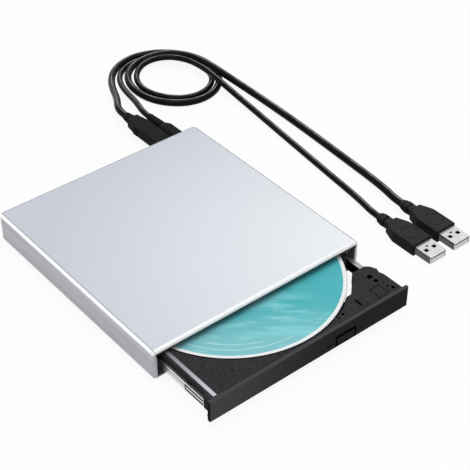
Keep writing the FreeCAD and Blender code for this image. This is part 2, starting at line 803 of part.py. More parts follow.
def wing_marks():
    """Square holes, dents, a slot and a square outline moulded in the wing and the land."""
    floor = tray_top - 1.2
    squares = [(55.3, 17.4, 2.8), (55.8, 13.2, 2.3), (57.3, 6.5, 1.2), (59.0, 4.1, 2.0),
               (25.5, 5.3, 1.6), (22.0, 4.4, 1.3)]
    marks = [box(f"tray_mark_{i}", (x - wide / 2, tray_front + y - wide / 2, floor),
                 (x + wide / 2, tray_front + y + wide / 2, tray_top + 1))
             for i, (x, y, wide) in enumerate(squares)]
    dents = [(-18.0, 3.5, 0.9), (-42.0, 9.2, 1.0), (-52.1, 4.9, 0.9)]
    marks += [rod(f"tray_dent_{i}", (x, tray_front + y, tray_top - 0.4), radius, 2.0)
              for i, (x, y, radius) in enumerate(dents)]
    marks.append(box("tray_mark_slot", (36.7, tray_front + 4.4, floor),
                     (38.0, tray_front + 9.4, tray_top + 1)))
    x0, x1, y0, y1, groove = 48.0, 54.8, 2.6, 10.3, 0.5
    strips = [(x0, y0, x1, y0 + groove), (x0, y1 - groove, x1, y1),
              (x0, y0, x0 + groove, y1), (x1 - groove, y0, x1, y1)]
    marks += [box(f"tray_groove_{i}", (a, tray_front + b, tray_top - 0.4),
                  (c, tray_front + d, tray_top + 1))
              for i, (a, b, c, d) in enumerate(strips)]
    return marks


def make_tray_fittings():
    left = -tray_side - s.shelf_reach + s.strip_inset
    front = tray_front + s.tray_wall
    node("tray_side_strip", box("tray_side_strip", (left, front, tray_top),
                                (left + s.strip_width, front + s.strip_length,
                                 tray_top + s.strip_thickness)))
    sheet_edge = s.cutaway_left - 1.0
    plate = box("under_plate", (-bay_side - 0.6, tray_front + s.bezel_flange_depth + 0.3, tray_floor),
                (sheet_edge, bay_end - 0.5, tray_base))
    slot = turned(box("under_slot", (22, -7, tray_floor - 1), (58, 7, tray_base + 1)))
    vents = [box(f"under_vent_{i}", (-40 + 12 * i, bay_end - 12, tray_floor - 1),
                 (-34 + 12 * i, bay_end - 9, tray_base + 1))
             for i in range(5)]
    node("tray_bottom_cover", cut("tray_bottom_cover", plate, slot, *vents))
    board = box("tray_board", (4, tray_front + 3, tray_base + 0.3),
                (24, tray_front + 16, tray_base + 0.3 + s.board_thickness))
    light = box("tray_board_light", (s.light_left + 0.6, tray_front + 2.6, tray_base + 1.3),
                (s.light_left + 3.4, tray_front + 5.4, tray_base + 3.2))
    node("tray_board", join("tray_board_whole", board, light))
    middle_x = s.button_left + s.button_width / 2
    case = box("switch_case", (middle_x - 2.6, tray_front + 3.4, tray_base + 0.3 + s.board_thickness),
               (middle_x + 2.6, tray_front + 7.2, tray_base + 4.8))
    nub = rod("switch_nub", (middle_x, switch_face, s.button_bottom + 2.4), 1.0,
              tray_front + 3.4 - switch_face, "y")
    node("eject_switch", join("eject_switch_whole", case, nub))
    coil = box("solenoid_coil", (24.8, tray_front + 8.2, tray_base + 0.4),
               (32.6, tray_front + 18, tray_base + 5.0))
    core = box("solenoid_core", (27.6, tray_front + 7.9, tray_base + 1.6),
               (32.2, tray_front + 18.8, tray_base + 3.2))
    node("latch_solenoid", join("latch_solenoid_whole", coil, core))


def make_bezel():
    """Front of the tray with the button opening, light slot and pinhole."""
    bezel = Piece("bezel")
    face = bezel.profile("XZ_Plane", bezel_front).rectangle(-drive_half, drive_floor, drive_half,
                                                            drive_roof)
    bezel.pad(face, s.bezel_wall)
    bezel.fillet(0.5, lambda e: near(middle(e).y, bezel_front))
    end = drive_half - s.bezel_end
    flange = bezel.profile("XZ_Plane", tray_front)
    flange.rectangle(-end, drive_floor, end, drive_floor + s.bezel_flange)
    bezel.pad(flange, s.bezel_flange_depth)
    through = s.bezel_wall + 2
    start = bezel_front - 1
    gap = s.button_gap
    hole = bezel.profile("XZ_Plane", start)
    hole.rectangle(s.button_left - gap, s.button_bottom - gap,
                   s.button_left + s.button_width + gap, s.button_bottom + s.button_height + gap)
    bezel.pocket(hole, through, towards=1)
    slot = bezel.profile("XZ_Plane", start)
    slot.rectangle(s.light_left, s.light_level - s.light_height / 2,
                   s.light_left + s.light_width, s.light_level + s.light_height / 2)
    bezel.pocket(slot, through, towards=1)
    pin = bezel.profile("XZ_Plane", start).circle(s.pinhole_x, s.pinhole_level, s.pinhole_radius)
    bezel.pocket(pin, through, towards=1)
    node("light_pipe", box("light_pipe", (s.light_left + 0.05, bezel_front + 0.1,
                                          s.light_level - s.light_height / 2 + 0.05),
                           (s.light_left + s.light_width - 0.05, tray_front + 2.4,
                            s.light_level + s.light_height / 2 - 0.05)))


# The pressed button stops just before the switch.
button_back = tray_front + 1.9
switch_face = button_back + s.button_travel + 0.1
latch_bottom = drive_floor + s.latch_level


def make_button():
    button = Piece("eject_button")
    right = s.button_left + s.button_width
    top = s.button_bottom + s.button_height
    cap = button.profile("XZ_Plane", bezel_front - s.button_proud)
    cap.rectangle(s.button_left, s.button_bottom, right, top)
    button.pad(cap, s.button_proud + s.bezel_wall + 0.1)
    button.fillet(0.4, lambda e: near(middle(e).y, bezel_front - s.button_proud))
    flange = button.profile("XZ_Plane", tray_front + 0.1)
    flange.rectangle(s.button_left - s.button_flange, s.button_bottom - s.button_flange + 0.4,
                     right + s.button_flange, top + s.button_flange)
    button.pad(flange, 0.6)
    centre = s.button_left + s.button_width / 2
    stem = button.profile("XZ_Plane", tray_front + 0.7).circle(centre, s.button_bottom + 2.4, 1.3)
    button.pad(stem, button_back - tray_front - 0.7)


def make_latch():
    """Hooked lever that swings clear of the latch pin when its tail is pushed."""
    lever = Piece("latch_lever")
    x, y = s.latch_pivot_x, bezel_front + s.latch_pivot_back
    corners = [
        (-15.0, -3.4), (-1.5, -2.7), (2.6, -1.7), (7.6, 5.0), (7.6, 10.3), (6.4, 10.7), (3.9, 9.3),
        (3.9, 7.9), (6.0, 7.9), (6.0, 5.2), (1.5, 2.1), (-3.0, 1.9), (-15.0, -1.8),
    ]
    outline = lever.profile("XY_Plane", latch_bottom).polygon([(x + dx, y + dy) for dx, dy in corners])
    lever.pad(outline, s.latch_thickness)
    bore = lever.profile("XY_Plane", latch_bottom - 1).circle(x, y, s.latch_pivot_radius + 0.06)
    lever.pocket(bore, s.latch_thickness + 2, towards=1)


def turned(thing):
    """Turns a solid given along the traverse into the tray's frame, about the spindle."""
    spin = FreeCAD.Rotation(Vector(0, 0, 1), SIZES["traverse_angle"])
    carrier = doc.addObject("Part::Compound", f"{thing.Name}_turned")
    carrier.Links = [thing]
    carrier.Placement = FreeCAD.Placement(Vector(), spin)
    return place(carrier, disc_x, disc_y, 0)


def turned_node(name, thing):
    return node(name, turned(thing))


def damper_places():
    """Middles of the three dampers, as distance out from and across the spindle."""
    return [(-11, -16), (-10, 15.5), (s.frame_front + 2.5, 0)]


def make_traverse():
    """Frame, guide rods, dampers and sled motor, laid out along the traverse."""
    back, front, left, right, corner = (-s.frame_back, s.frame_front, -s.frame_left, s.frame_right,
                                        s.frame_corner)
    frame = Piece("traverse_blank")
    nodes.pop("traverse_blank")
    outline = [
        (back, left + corner), (back + corner, left), (front - corner - 3, left), (front,
                                                                                   left + corner + 3),
        (front, right - corner - 3), (front - corner - 3, right), (back + corner, right), (back,
                                                                                           right - corner),
    ]
    frame.pad(frame.profile("XY_Plane", frame_bottom).polygon(outline), s.frame_height)
    ear = frame.profile("XY_Plane", frame_bottom).rectangle(front - 2, -4.6, front + 6.5, 4.6)
    frame.pad(ear, s.frame_height)
    low, high, end = left + s.frame_wall, right - s.frame_wall, front - s.frame_end_wall
    opening = frame.profile("XY_Plane", frame_bottom - 1).polygon([
        (s.frame_opening_back, low), (front - corner - 4.4, low), (end, left + corner + 2.8),
        (end, right - corner - 2.8), (front - corner - 4.4, high), (s.frame_opening_back, high),
    ])
    frame.pocket(opening, s.frame_height + 2, towards=1)
    tip = s.lead_length - s.lead_start
    bracket = frame.profile("XY_Plane", frame_bottom).rectangle(tip - 1.5, s.screw_spread - 2.6, tip + 1.5,
                                                                high + 0.1)
    frame.pad(bracket, s.frame_height)
    well = frame.profile("XY_Plane", frame_bottom - 1).circle(0, 0, s.cup_radius + 1.0)
    frame.pocket(well, s.frame_height + 2, towards=1)
    motor_back = -s.sled_motor_front - s.sled_motor_length
    nest = frame.profile("XY_Plane", frame_bottom - 1)
    nest.rectangle(motor_back - 0.4, s.screw_spread - s.sled_motor_radius - 0.3, s.frame_opening_back + 1,
                   high)
    frame.pocket(nest, s.frame_height + 2, towards=1)
    for r, w in damper_places():
        hole = frame.profile("XY_Plane", frame_bottom - 1).circle(r, w, s.damper_radius + 0.05)
        frame.pocket(hole, s.frame_height + 2, towards=1)

    rod_length = s.frame_front - 1.2 - s.rod_start
    holes = [rod(f"rod_hole_{i}", (s.rod_start - 0.3, w, rod_centre), s.rod_radius + 0.03,
                 rod_length + 0.6, "x")
             for i, w in enumerate((-s.rod_spread, s.rod_spread))]
    lead_hole = rod("lead_hole", (tip - 2, s.screw_spread, rod_centre), s.lead_radius + 0.05, 2.6, "x")
    turned_node("traverse_frame", cut("traverse_frame_cut", frame.body, *holes, lead_hole))
    rods = [rod(f"guide_rod_{i}", (s.rod_start, w, rod_centre), s.rod_radius, rod_length, "x")
            for i, w in enumerate((-s.rod_spread, s.rod_spread))]
    group("guide_rods", [turned(bar) for bar in rods])

    can = rod("motor_can", (motor_back, s.screw_spread, rod_centre), s.sled_motor_radius,
              s.sled_motor_length, "x")
    half = s.sled_motor_height / 2
    flats = box("motor_flats", (motor_back - 1, s.screw_spread - 6, rod_centre - half),
                (-s.sled_motor_front + 1, s.screw_spread + 6, rod_centre + half))
    bore = rod("motor_bore", (-s.lead_start - 0.3, s.screw_spread, rod_centre), s.lead_radius + 0.05, 4.0,
               "x")
    turned_node("sled_motor", cut("sled_motor_cut", overlap("motor_body", can, flats), bore))

    rings, screws = [], []
    for i, (r, w) in enumerate(damper_places()):
        body = rod(f"damper_body_{i}", (r, w, frame_bottom), s.damper_radius, s.frame_height)
        bore = rod(f"damper_bore_{i}", (r, w, frame_bottom - 1), s.screw_radius + 0.1, s.frame_height + 2)
        rings.append(turned(cut(f"damper_{i}", body, bore)))
        head = rod(f"damper_head_{i}", (r, w, frame_bottom - 0.5), s.screw_head_radius, 0.5)
        shank = rod(f"damper_shank_{i}", (r, w, frame_bottom), s.screw_radius, s.frame_height + 1.4)
        screws.append(turned(join(f"damper_screw_{i}", head, shank)))
    group("dampers", rings)
    group("damper_screws", screws)


def make_sled():
    """Pickup carriage on the guide rods, its nut finger and its lens."""
    low = frame_bottom + 0.2
    high = low + s.sled_height
    block = Piece("sled_block")
    nodes.pop("sled_block")
    wing, end, bevel = s.sled_wing, s.sled_end, s.sled_bevel
    block.pad(block.profile("XY_Plane", low).polygon([
        (s.sled_start, -wing), (end - bevel, -wing), (end, bevel - wing), (end, wing - bevel),
        (end - bevel, wing), (s.sled_start, wing),
    ]), s.sled_height)
    nut = box("sled_nut", (s.sled_start + 2, s.sled_wing, low + 0.2),
              (s.sled_start + 8, s.screw_spread + 2.2, high - 0.4))
    half = s.lens_housing / 2
    housing = box("sled_housing", (s.lens_distance - half, -half - 1.5, high),
                  (s.lens_distance + half - 0.9, half + 1.5, high + s.lens_housing_height))
    relief = rod("sled_relief", (0, 0, low - 1), s.cup_radius + 1.6, s.sled_height + 5)
    holes = [rod(f"sled_bore_{i}", (s.sled_start - 1, w, rod_centre), s.rod_radius + s.rod_fit, 40.0, "x")
             for i, w in enumerate((-s.rod_spread, s.rod_spread))]
    thread = rod("sled_thread", (s.sled_start, s.screw_spread, rod_centre), s.lead_radius + s.running_gap,
                 20.0, "x")
    seat = rod("sled_lens_seat", (s.lens_distance, 0, high + s.lens_housing_height - 0.6), s.lens_radius,
               2.0)
    body = join("sled_body", block.body, nut, housing)
    turned_node("pickup_sled", cut("sled_cut", body, relief, *holes, thread, seat))
    lens = rod("lens", (s.lens_distance, 0, high + s.lens_housing_height - 0.6), s.lens_radius - 0.02, 0.8)
    doc.recompute()
    dome = blend("lens_dome", lens, 0.35, lambda e: near(e.BoundBox.ZMin,
                                                         high + s.lens_housing_height + 0.2)
                 and e.Curve.TypeId == "Part::GeomCircle")
    turned_node("objective_lens", dome)
    lead = rod("lead_bar", (-s.lead_start, s.screw_spread, rod_centre), s.lead_radius, s.lead_length, "x")
    turned_node("lead_screw", lead)


def make_spindle():
    """Flat outer-rotor motor: base with bearing, stator, rotor cup with turntable."""
    plate = rod("motor_plate", (disc_x, disc_y, frame_bottom - 0.5), s.cup_radius + 3.0, 0.5)
    bearing = rod("motor_bearing", (disc_x, disc_y, frame_bottom), s.bearing_radius, 3.4)
    bore = rod("motor_shaft_bore", (disc_x, disc_y, frame_bottom + 0.1), s.shaft_radius + s.shaft_fit, 4.0)
    node("motor_base", cut("motor_base", join("motor_base_whole", plate, bearing), bore))

    core = rod("stator_core", (disc_x, disc_y, frame_bottom + 0.6), s.stator_radius, 2.4)
    eye = rod("stator_eye", (disc_x, disc_y, frame_bottom), s.bearing_radius + 0.02, 4.0)
    gaps = []
    teeth = 9
    for i in range(teeth):
        gap = box(f"stator_gap_{i}", (5.2, -0.7, frame_bottom), (12, 0.7, frame_bottom + 4))
        slot = doc.addObject("Part::Compound", f"stator_slot_{i}")
        slot.Links = [gap]
        slot.Placement = FreeCAD.Placement(Vector(), FreeCAD.Rotation(Vector(0, 0, 1), 360.0 * i / teeth))
        gaps.append(place(slot, disc_x, disc_y, 0))
    node("stator", cut("stator", core, eye, *gaps))

    rotor = Piece("spindle_rotor_blank")
    nodes.pop("spindle_rotor_blank")
    roof = frame_top + 0.2
    table = disc_bottom - s.pad_thickness
    hub_top = table + s.hub_height
    section = [
        (0, frame_bottom + 0.3), (s.shaft_radius, frame_bottom + 0.3), (s.shaft_radius, roof - 0.5),
        (s.cup_radius - s.cup_wall, roof - 0.5), (s.cup_radius - s.cup_wall, frame_bottom + 0.5),
        (s.cup_radius, frame_bottom + 0.5), (s.cup_radius, roof), (6.0, roof),
        (6.0, table - s.table_thickness), (s.table_radius, table - s.table_thickness),
        (s.table_radius, table), (s.hub_radius, table), (s.hub_radius, hub_top - 0.8),
        (s.hub_radius - 1.2, hub_top), (2.0, hub_top), (1.4, hub_top - 0.5), (0, hub_top - 0.5),
    ]
    rotor.revolve(rotor.profile("XZ_Plane").polygon(section))
    spun = doc.addObject("Part::Compound", "spindle_rotor_placed")
    spun.Links = [rotor.body]
    place(spun, disc_x, disc_y, 0)
    claw_low = disc_bottom + s.disc_thickness + 0.05
    slots = []
    for i in range(3):
        pocket = box(f"claw_pocket_{i}", (3.2, -s.claw_width / 2 - 0.3, claw_low - 0.3),
                     (12, s.claw_width / 2 + 0.3, hub_top + 1))
        slots.append(around(pocket, i))
        tip = s.disc_hole_radius + s.claw_overhang
        claw = box(f"claw_block_{i}", (tip - s.claw_length, -s.claw_width / 2, claw_low),
                   (tip, s.claw_width / 2, claw_low + s.claw_height))
        node(f"clamp_claw_{i + 1}", around(claw, i))
    node("spindle_rotor", cut("spindle_rotor", spun, *slots))

    outer = rod("pad_outer", (disc_x, disc_y, table), s.table_radius - 0.2, s.pad_thickness)
    inner = rod("pad_inner", (disc_x, disc_y, table - 1), s.table_radius - 0.2 - s.pad_width,
                s.pad_thickness + 2)
    node("turntable_pad", cut("turntable_pad", outer, inner))


def around(thing, index):
    """Places one of three claws or pockets round the spindle."""
    carrier = doc.addObject("Part::Compound", f"{thing.Name}_round")
    carrier.Links = [thing]
    carrier.Placement = FreeCAD.Placement(Vector(), FreeCAD.Rotation(Vector(0, 0, 1), 90 + 120.0 * index))
    return place(carrier, disc_x, disc_y, 0)


def make_disc():
    disc = Piece("disc_blank")
    nodes.pop("disc_blank")
    top = disc_bottom + s.disc_thickness
    section = [
        (s.disc_hole_radius, disc_bottom), (16.5, disc_bottom), (16.8, disc_bottom - 0.15),
        (17.4, disc_bottom - 0.15), (17.7, disc_bottom), (s.disc_radius - 0.2, disc_bottom),
        (s.disc_radius, disc_bottom + 0.2), (s.disc_radius, top - 0.2), (s.disc_radius - 0.2, top),
        (s.disc_hole_radius, top),
    ]
    disc.revolve(disc.profile("XZ_Plane").polygon(section))
    placed = doc.addObject("Part::Compound", "disc_placed")
    placed.Links = [disc.body]
    node("disc", place(placed, disc_x, disc_y, 0))


def make_boards():
    """Main board behind the tray's travel, and bridge board at the back of the case."""
    board_low = pan_top + s.cover_sheet
    board_top = board_low + s.board_thickness
    back = drive_back - s.sheet - 0.3
    front = back - s.main_board_length
    edge = bay_side - 0.8
    node("main_board", box("main_board", (-edge, front, board_low), (edge, back, board_top)))
    wide, deep = edge, s.main_board_length
    chips = [(-0.53, 0.34, 0.25, 0.40, 1.2), (-0.11, 0.38, 0.18, 0.38, 1.1), (0.25, 0.42, 0.16, 0.29, 1.3),
             (0.60, 0.25, 0.11, 0.48, 1.0), (0.81, 0.50, 0.09, 0.21, 1.6)]
    chips = [box(f"main_chip_{i}", (wide * x, front + deep * y, board_top),
                 (wide * (x + w), front + deep * (y + d), board_top + tall))
             for i, (x, y, w, d, tall) in enumerate(chips)]
    chips.append(box("main_ribbon_socket", (wide * -0.64, front + deep * 0.025, board_top),
                     (wide * -0.21, front + deep * 0.17, board_top + 1.6)))
    group("main_board_chips", chips)

    top = s.plug_level - 2.0
    low = top - s.board_thickness
    near_drive = drive_back + 1.6
    near_wall = case_back - s.back_wall - 0.8
    board = box("bridge_blank", (-12, near_drive, low), (cavity_half - 0.8, near_wall, top))
    legs = [rod(f"bridge_leg_{i}", (x, near_drive + 4, cavity_floor), 1.5, low - cavity_floor) for i,
            x in enumerate((-9, 28, 62))]
    node("bridge_board", join("bridge_board_whole", board, *legs))
    deep = near_wall - near_drive
    wide = cavity_half
    chips = [(0.50, 0.12, 0.10, 0.65, 1.1), (-0.09, 0.38, 0.11, 0.38, 1.2), (0.31, 0.54, 0.06, 0.27, 0.9)]
    group("bridge_chips", [box(f"bridge_chip_{i}", (wide * x, near_drive + deep * y, top),
                               (wide * (x + w), near_drive + deep * (y + d), top + tall))
                           for i, (x, y, w, d, tall) in enumerate(chips)])
    low_end, high_end = cavity_half * -0.124, cavity_half * 0.465
    plug = box("drive_connector_body", (low_end, back - 4.6, board_top),
               (high_end, near_drive + 3.0, top + 3.0))
    clear = box("drive_connector_step", (low_end - 1, near_drive, low - 5),
                (high_end + 1, near_drive + 4, top))
    node("drive_connector", cut("drive_connector", plug, clear))


def make_ribbon():
    """Flat flexible cable on the floor of the pan, turned back under the tray."""
    half, left, right = 0.05, -34.0, -14.0
    low = number_of(pan_top) + 0.04
    fold = number_of(drive_front) + 20
    rear = number_of(drive_back) - number_of(s.main_board_length) - 0.5
    upper = number_of(bay_end) + 2
    gap = number_of(s.tray_clearance) - 0.16
    lower = Part.makeBox(right - left, rear - fold, 2 * half, Vector(left, fold, low))
    over = Part.makeBox(right - left, upper - fold, 2 * half, Vector(left, fold, low + gap))
    ring = Part.makeCylinder(gap / 2 + half, right - left, Vector(left, fold, low + half + gap / 2),
                             Vector(1, 0, 0))
    eye = Part.makeCylinder(gap / 2 - half, right - left, Vector(left, fold, low + half + gap / 2),
                            Vector(1, 0, 0))
    front_half = Part.makeBox(right - left, 2, 2, Vector(left, fold - 2, low - 0.5))
    turn = ring.cut(eye).common(front_half)
    ribbon = doc.addObject("Part::Feature", "ribbon_cable")
    ribbon.Shape = lower.fuse([over, turn]).removeSplitter()
    node("ribbon_cable", ribbon)


def make_sockets():
    top = s.plug_level - 2.0
    face = case_back - s.socket_recess
    back = face - s.socket_depth
    half = s.data_tip_width / 2 + 0.7
    shell = box("data_socket_shell", (s.data_x - half, back, top),
                (s.data_x + half, face, s.plug_level + 2.0))
    fit = s.tip_fit
    mouth = box("data_socket_mouth", (s.data_x - s.data_tip_width / 2 - fit, face - 6.8,
                                      s.plug_level - s.data_tip_height / 2 - fit),
                (s.data_x + s.data_tip_width / 2 + fit, face + 1,
                 s.plug_level + s.data_tip_height / 2 + fit))
    node("data_socket", cut("data_socket", shell, mouth))
    body = box("power_socket_body", (s.power_x - 3.3, back, top),
               (s.power_x + 3.3, face - 0.4, s.plug_level + 2.7))
    collar = rod("power_socket_collar", (s.power_x, face - 0.4, s.plug_level), 2.6, 0.6, "y")
    bore = rod("power_socket_bore", (s.power_x, face - 7.0, s.plug_level), s.power_tip_radius + fit, 9.0,
               "y")
    node("power_socket", cut("power_socket", join("power_socket_whole", body, collar), bore))


def relief(name, x, y, z, radius, cord, length, ribs):
    """Ribbed strain relief that tapers towards the cord; it runs along +Y."""
    pitch = length / ribs
    parts = []
    for i in range(ribs):
        share = i / max(ribs - 1, 1)
        wide = radius * (1 - share) + (cord + 0.5) * share
        parts.append(rod(f"{name}_rib_{i}", (x, y + pitch * i, z), wide, pitch * 0.62, "y"))
    parts.append(rod(f"{name}_core", (x, y, z), cord + 0.25, length, "y"))
    return parts


def make_rear_plugs():
    """The two moulded plugs at the back of the case, with their metal tips."""
    front = case_back + s.plug_gap
    half_w, half_h = s.data_grip_width / 2, s.data_grip_height / 2
    neck = s.data_neck_width / 2
    body_end = front + s.data_body_length
    end = front + s.data_grip_length
    grip = Piece("data_grip_blank")
    nodes.pop("data_grip_blank")
    outline = [
        (s.data_x - half_w, front), (s.data_x + half_w, front), (s.data_x + half_w, body_end + 3.0),
        (s.data_x + neck + 0.3, end - 3.2), (s.data_x + neck, end), (s.data_x - neck, end),
        (s.data_x - neck - 0.3, end - 3.2), (s.data_x - half_w, body_end + 3.0),
    ]
    grip.pad(grip.profile("XY_Plane", s.plug_level - half_h).polygon(outline), s.data_grip_height)
    grip.fillet(1.6, lambda e: runs_along(e, 2))
    grip.fillet(1.2, lambda e: not runs_along(e, 2))
    reach = half_w + s.data_ridge_reach
    ridges = [box(f"data_ridge_{i}", (s.data_x - reach, body_end + step, s.plug_level - 2.2),
                  (s.data_x + reach, body_end + step + 1.1,
                   s.plug_level + 2.2)) for i, step in enumerate((0.0, 1.9))]
    boot = relief("data_boot", s.data_x, end - 0.4, s.plug_level, 3.3, s.data_cord_radius,
                  s.data_relief_length + 0.4, 3)
    node("data_plug", join("data_plug_whole", grip.body, *ridges, *boot))
    tip = box("data_tip", (s.data_x - s.data_tip_width / 2, front - s.tip_length,
                           s.plug_level - s.data_tip_height / 2),
              (s.data_x + s.data_tip_width / 2, front, s.plug_level + s.data_tip_height / 2))
    node("data_plug_tip", blend("data_tip_soft", tip, 0.5, lambda e: runs_along(e, 1)))

    grip = rod("power_grip", (s.power_x, front, s.plug_level), s.power_grip_radius,
               s.power_grip_length - 3.5, "y")
    end = front + s.power_grip_length
    shoulder = taper("power_shoulder", (s.power_x, end - 3.5, s.plug_level), s.power_grip_radius, 3.1, 3.5,
                     "y")
    flats = box("power_flats", (s.power_x - 6, front - 1, s.plug_level - 3.6),
                (s.power_x + 6, end + 1, s.plug_level + 3.6))
    grip = overlap("power_grip_flat", join("power_grip_round", grip, shoulder), flats)
    boot = relief("power_boot", s.power_x, end - 0.4, s.plug_level, 2.9, s.power_cord_radius,
                  s.power_relief_length + 0.4, 5)
    node("power_plug", join("power_plug_whole", grip, *boot))
    node("power_plug_tip", rod("power_plug_tip", (s.power_x, front - s.tip_length, s.plug_level),
                               s.power_tip_radius,
                               s.tip_length, "y"))


def make_usb_plug(name, x, cord_radius):
    """Flat USB plug lying on the table: soft grip with a ringed neck, metal shell and tongue."""
    centre = s.usb_grip_height / 2
    shell_back = s.usb_front + s.usb_shell_length
    grip = Piece(f"{name}_grip_blank")
    nodes.pop(f"{name}_grip_blank")
    half, neck = s.usb_grip_width / 2, s.usb_neck_width / 2
    end = shell_back + s.usb_grip_length
    right = [(half, shell_back), (half, end - 8.5), (half - 0.9, end - 5.5), (neck + 0.8, end - 2.5),
             (neck, end)]
    outline = [(x + w, y) for w, y in right] + [(x - w, y) for w, y in reversed(right)]
    grip.pad(grip.profile("XY_Plane").polygon(outline), s.usb_grip_height)
    grip.fillet(1.5, lambda e: runs_along(e, 2) and not near(middle(e).y, shell_back))
    grip.fillet(1.3, lambda e: not runs_along(e, 2) and not near(middle(e).y, shell_back))
    seal = s.usb_seal_radius
    ring_y = shell_back + s.usb_shell_length - 3
    groove = cut(f"{name}_seal", rod(f"{name}_seal_outer", (x, ring_y, s.usb_grip_height - 0.25), seal,
                                     1.0),
                 rod(f"{name}_seal_inner", (x, ring_y, s.usb_grip_height - 0.5), seal - 0.6, 2.0))
    body = cut(f"{name}_grip_marked", grip.body, groove)
    core = cord_radius + 0.35
    ring = s.usb_ring_radius
    boot = [
        rod(f"{name}_boot_core", (x, end - 0.5, centre), core, s.usb_relief_length + 0.5, "y"),
        rod(f"{name}_boot_neck", (x, end - 0.5, centre), ring - 0.1, 2.6, "y"),
        rod(f"{name}_boot_ring", (x, end + 3.2, centre), ring, 2.6, "y"),
        rod(f"{name}_boot_lip", (x, end + 6.4, centre), ring - 0.4, 1.2, "y"),
    ]
    node(f"{name}_grip", join(f"{name}_grip_whole", body, *boot))

    half_w, half_h, wall = s.usb_shell_width / 2, s.usb_shell_height / 2, s.usb_shell_wall
    low, high = centre - half_h, centre + half_h
    outer = box(f"{name}_shell_outer", (x - half_w, s.usb_front, low), (x + half_w, shell_back, high))
    outer = blend(f"{name}_shell_soft", outer, 0.5, lambda e: runs_along(e, 1))
    inner = box(f"{name}_shell_inner", (x - half_w + wall, s.usb_front - 1, low + wall),
                (x + half_w - wall, shell_back - wall, high - wall))
    openings = [(-2.9, 5.0, 2.3, 2.2), (2.9, 5.0, 2.3, 2.2), (0.0, 8.0, 1.4, 1.0)]
    windows = [box(f"{name}_window_{i}", (x + at - wide / 2, s.usb_front + y, low - 1),
                   (x + at + wide / 2, s.usb_front + y + deep, high + 1))
               for i, (at, y, wide, deep) in enumerate(openings)]
    node(f"{name}_shell", cut(f"{name}_shell_cut", outer, inner, *windows))
    tongue = box(f"{name}_tongue", (x - half_w + wall, s.usb_front + 0.3, low + wall + 0.02),
                 (x + half_w - wall, shell_back - wall, low + wall + s.usb_tongue_height))
    node(f"{name}_tongue", tongue)


# Middle lines of the two leads, from the rear plugs once and a half round the loop to the
# USB plugs. Each lies on the table and passes over its own first turn on the far side.
DATA_ROUTE = [
    (52.2, 148.7, 7.7), (56.3, 154.9, 6.6), (60.5, 162.5, 4.9), (64.4, 171.0, 3.4),
    (68.8, 179.6, 2.5), (74.4, 187.3, 2.3), (81.6, 193.1, 2.3), (90.1, 196.5, 2.3),
    (99.2, 197.3, 2.4), (108.4, 195.2, 2.3), (116.7, 190.6, 2.3), (123.7, 183.9, 2.3),
    (128.8, 175.6, 2.3), (131.8, 166.3, 2.3), (132.2, 156.7, 2.3), (129.9, 147.4, 2.3),
    (125.1, 139.2, 2.3), (118.1, 133.0, 2.3), (109.7, 129.6, 2.3), (100.7, 129.3, 2.3),
    (92.1, 132.1, 2.3), (84.7, 137.8, 2.4), (79.2, 145.8, 2.3), (76.2, 155.1, 2.3),
    (75.8, 164.6, 2.5), (77.7, 173.0, 2.8), (81.5, 179.6, 3.1), (86.6, 184.3, 3.5),
    (92.7, 187.3, 3.9), (99.5, 188.2, 4.4), (106.7, 187.1, 5.1), (113.7, 183.7, 5.8),
    (119.6, 178.1, 6.4), (123.7, 170.3, 7.0), (125.8, 161.0, 7.5), (126.7, 151.0, 7.7),
    (127.2, 140.9, 7.3), (128.2, 131.0, 6.2), (129.5, 120.6, 4.9), (130.7, 108.5, 3.6),
    (131.3, 93.4, 2.8), (131.1, 74.8, 2.4), (130.2, 53.6, 2.3), (128.9, 32.3, 2.3),
    (127.3, 13.2, 2.7), (125.6, -2.4, 3.4), (123.7, -14.3, 3.9),
]
POWER_ROUTE = [
    (62.9, 141.2, 7.3), (65.8, 150.2, 6.0), (68.3, 160.0, 4.3), (71.1, 170.0, 2.9),
    (74.8, 179.1, 2.1), (80.3, 186.5, 1.9), (88.0, 191.1, 1.9), (97.0, 192.7, 1.9),
    (106.2, 191.1, 1.9), (114.6, 186.5, 1.9), (121.3, 179.2, 1.9), (125.7, 170.3, 1.9),
    (127.5, 160.6, 1.9), (126.5, 151.3, 1.9), (122.6, 143.5, 1.9), (116.4, 138.1, 1.9),
    (108.7, 135.3, 1.9), (100.5, 135.6, 1.9), (92.8, 139.1, 1.9), (86.7, 145.5, 2.0),
    (82.7, 153.7, 1.9), (81.4, 162.4, 1.9), (82.6, 170.1, 2.3), (85.8, 176.1, 2.9),
    (90.1, 180.3, 3.6), (95.3, 182.8, 4.4), (100.9, 183.5, 5.0), (106.7, 182.2, 5.5),
    (112.4, 178.9, 5.9), (117.2, 173.4, 6.3), (120.3, 165.6, 6.7), (121.4, 156.3, 7.1),
    (121.3, 146.2, 7.3), (120.6, 135.9, 7.0), (119.9, 125.0, 6.0), (119.5, 112.5, 4.7),
    (118.8, 96.8, 3.4), (117.3, 77.6, 2.4), (115.2, 55.9, 1.9), (112.7, 34.0, 1.9),
    (110.1, 14.3, 2.3), (107.7, -1.8, 3.1), (105.4, -14.1, 3.8),
]


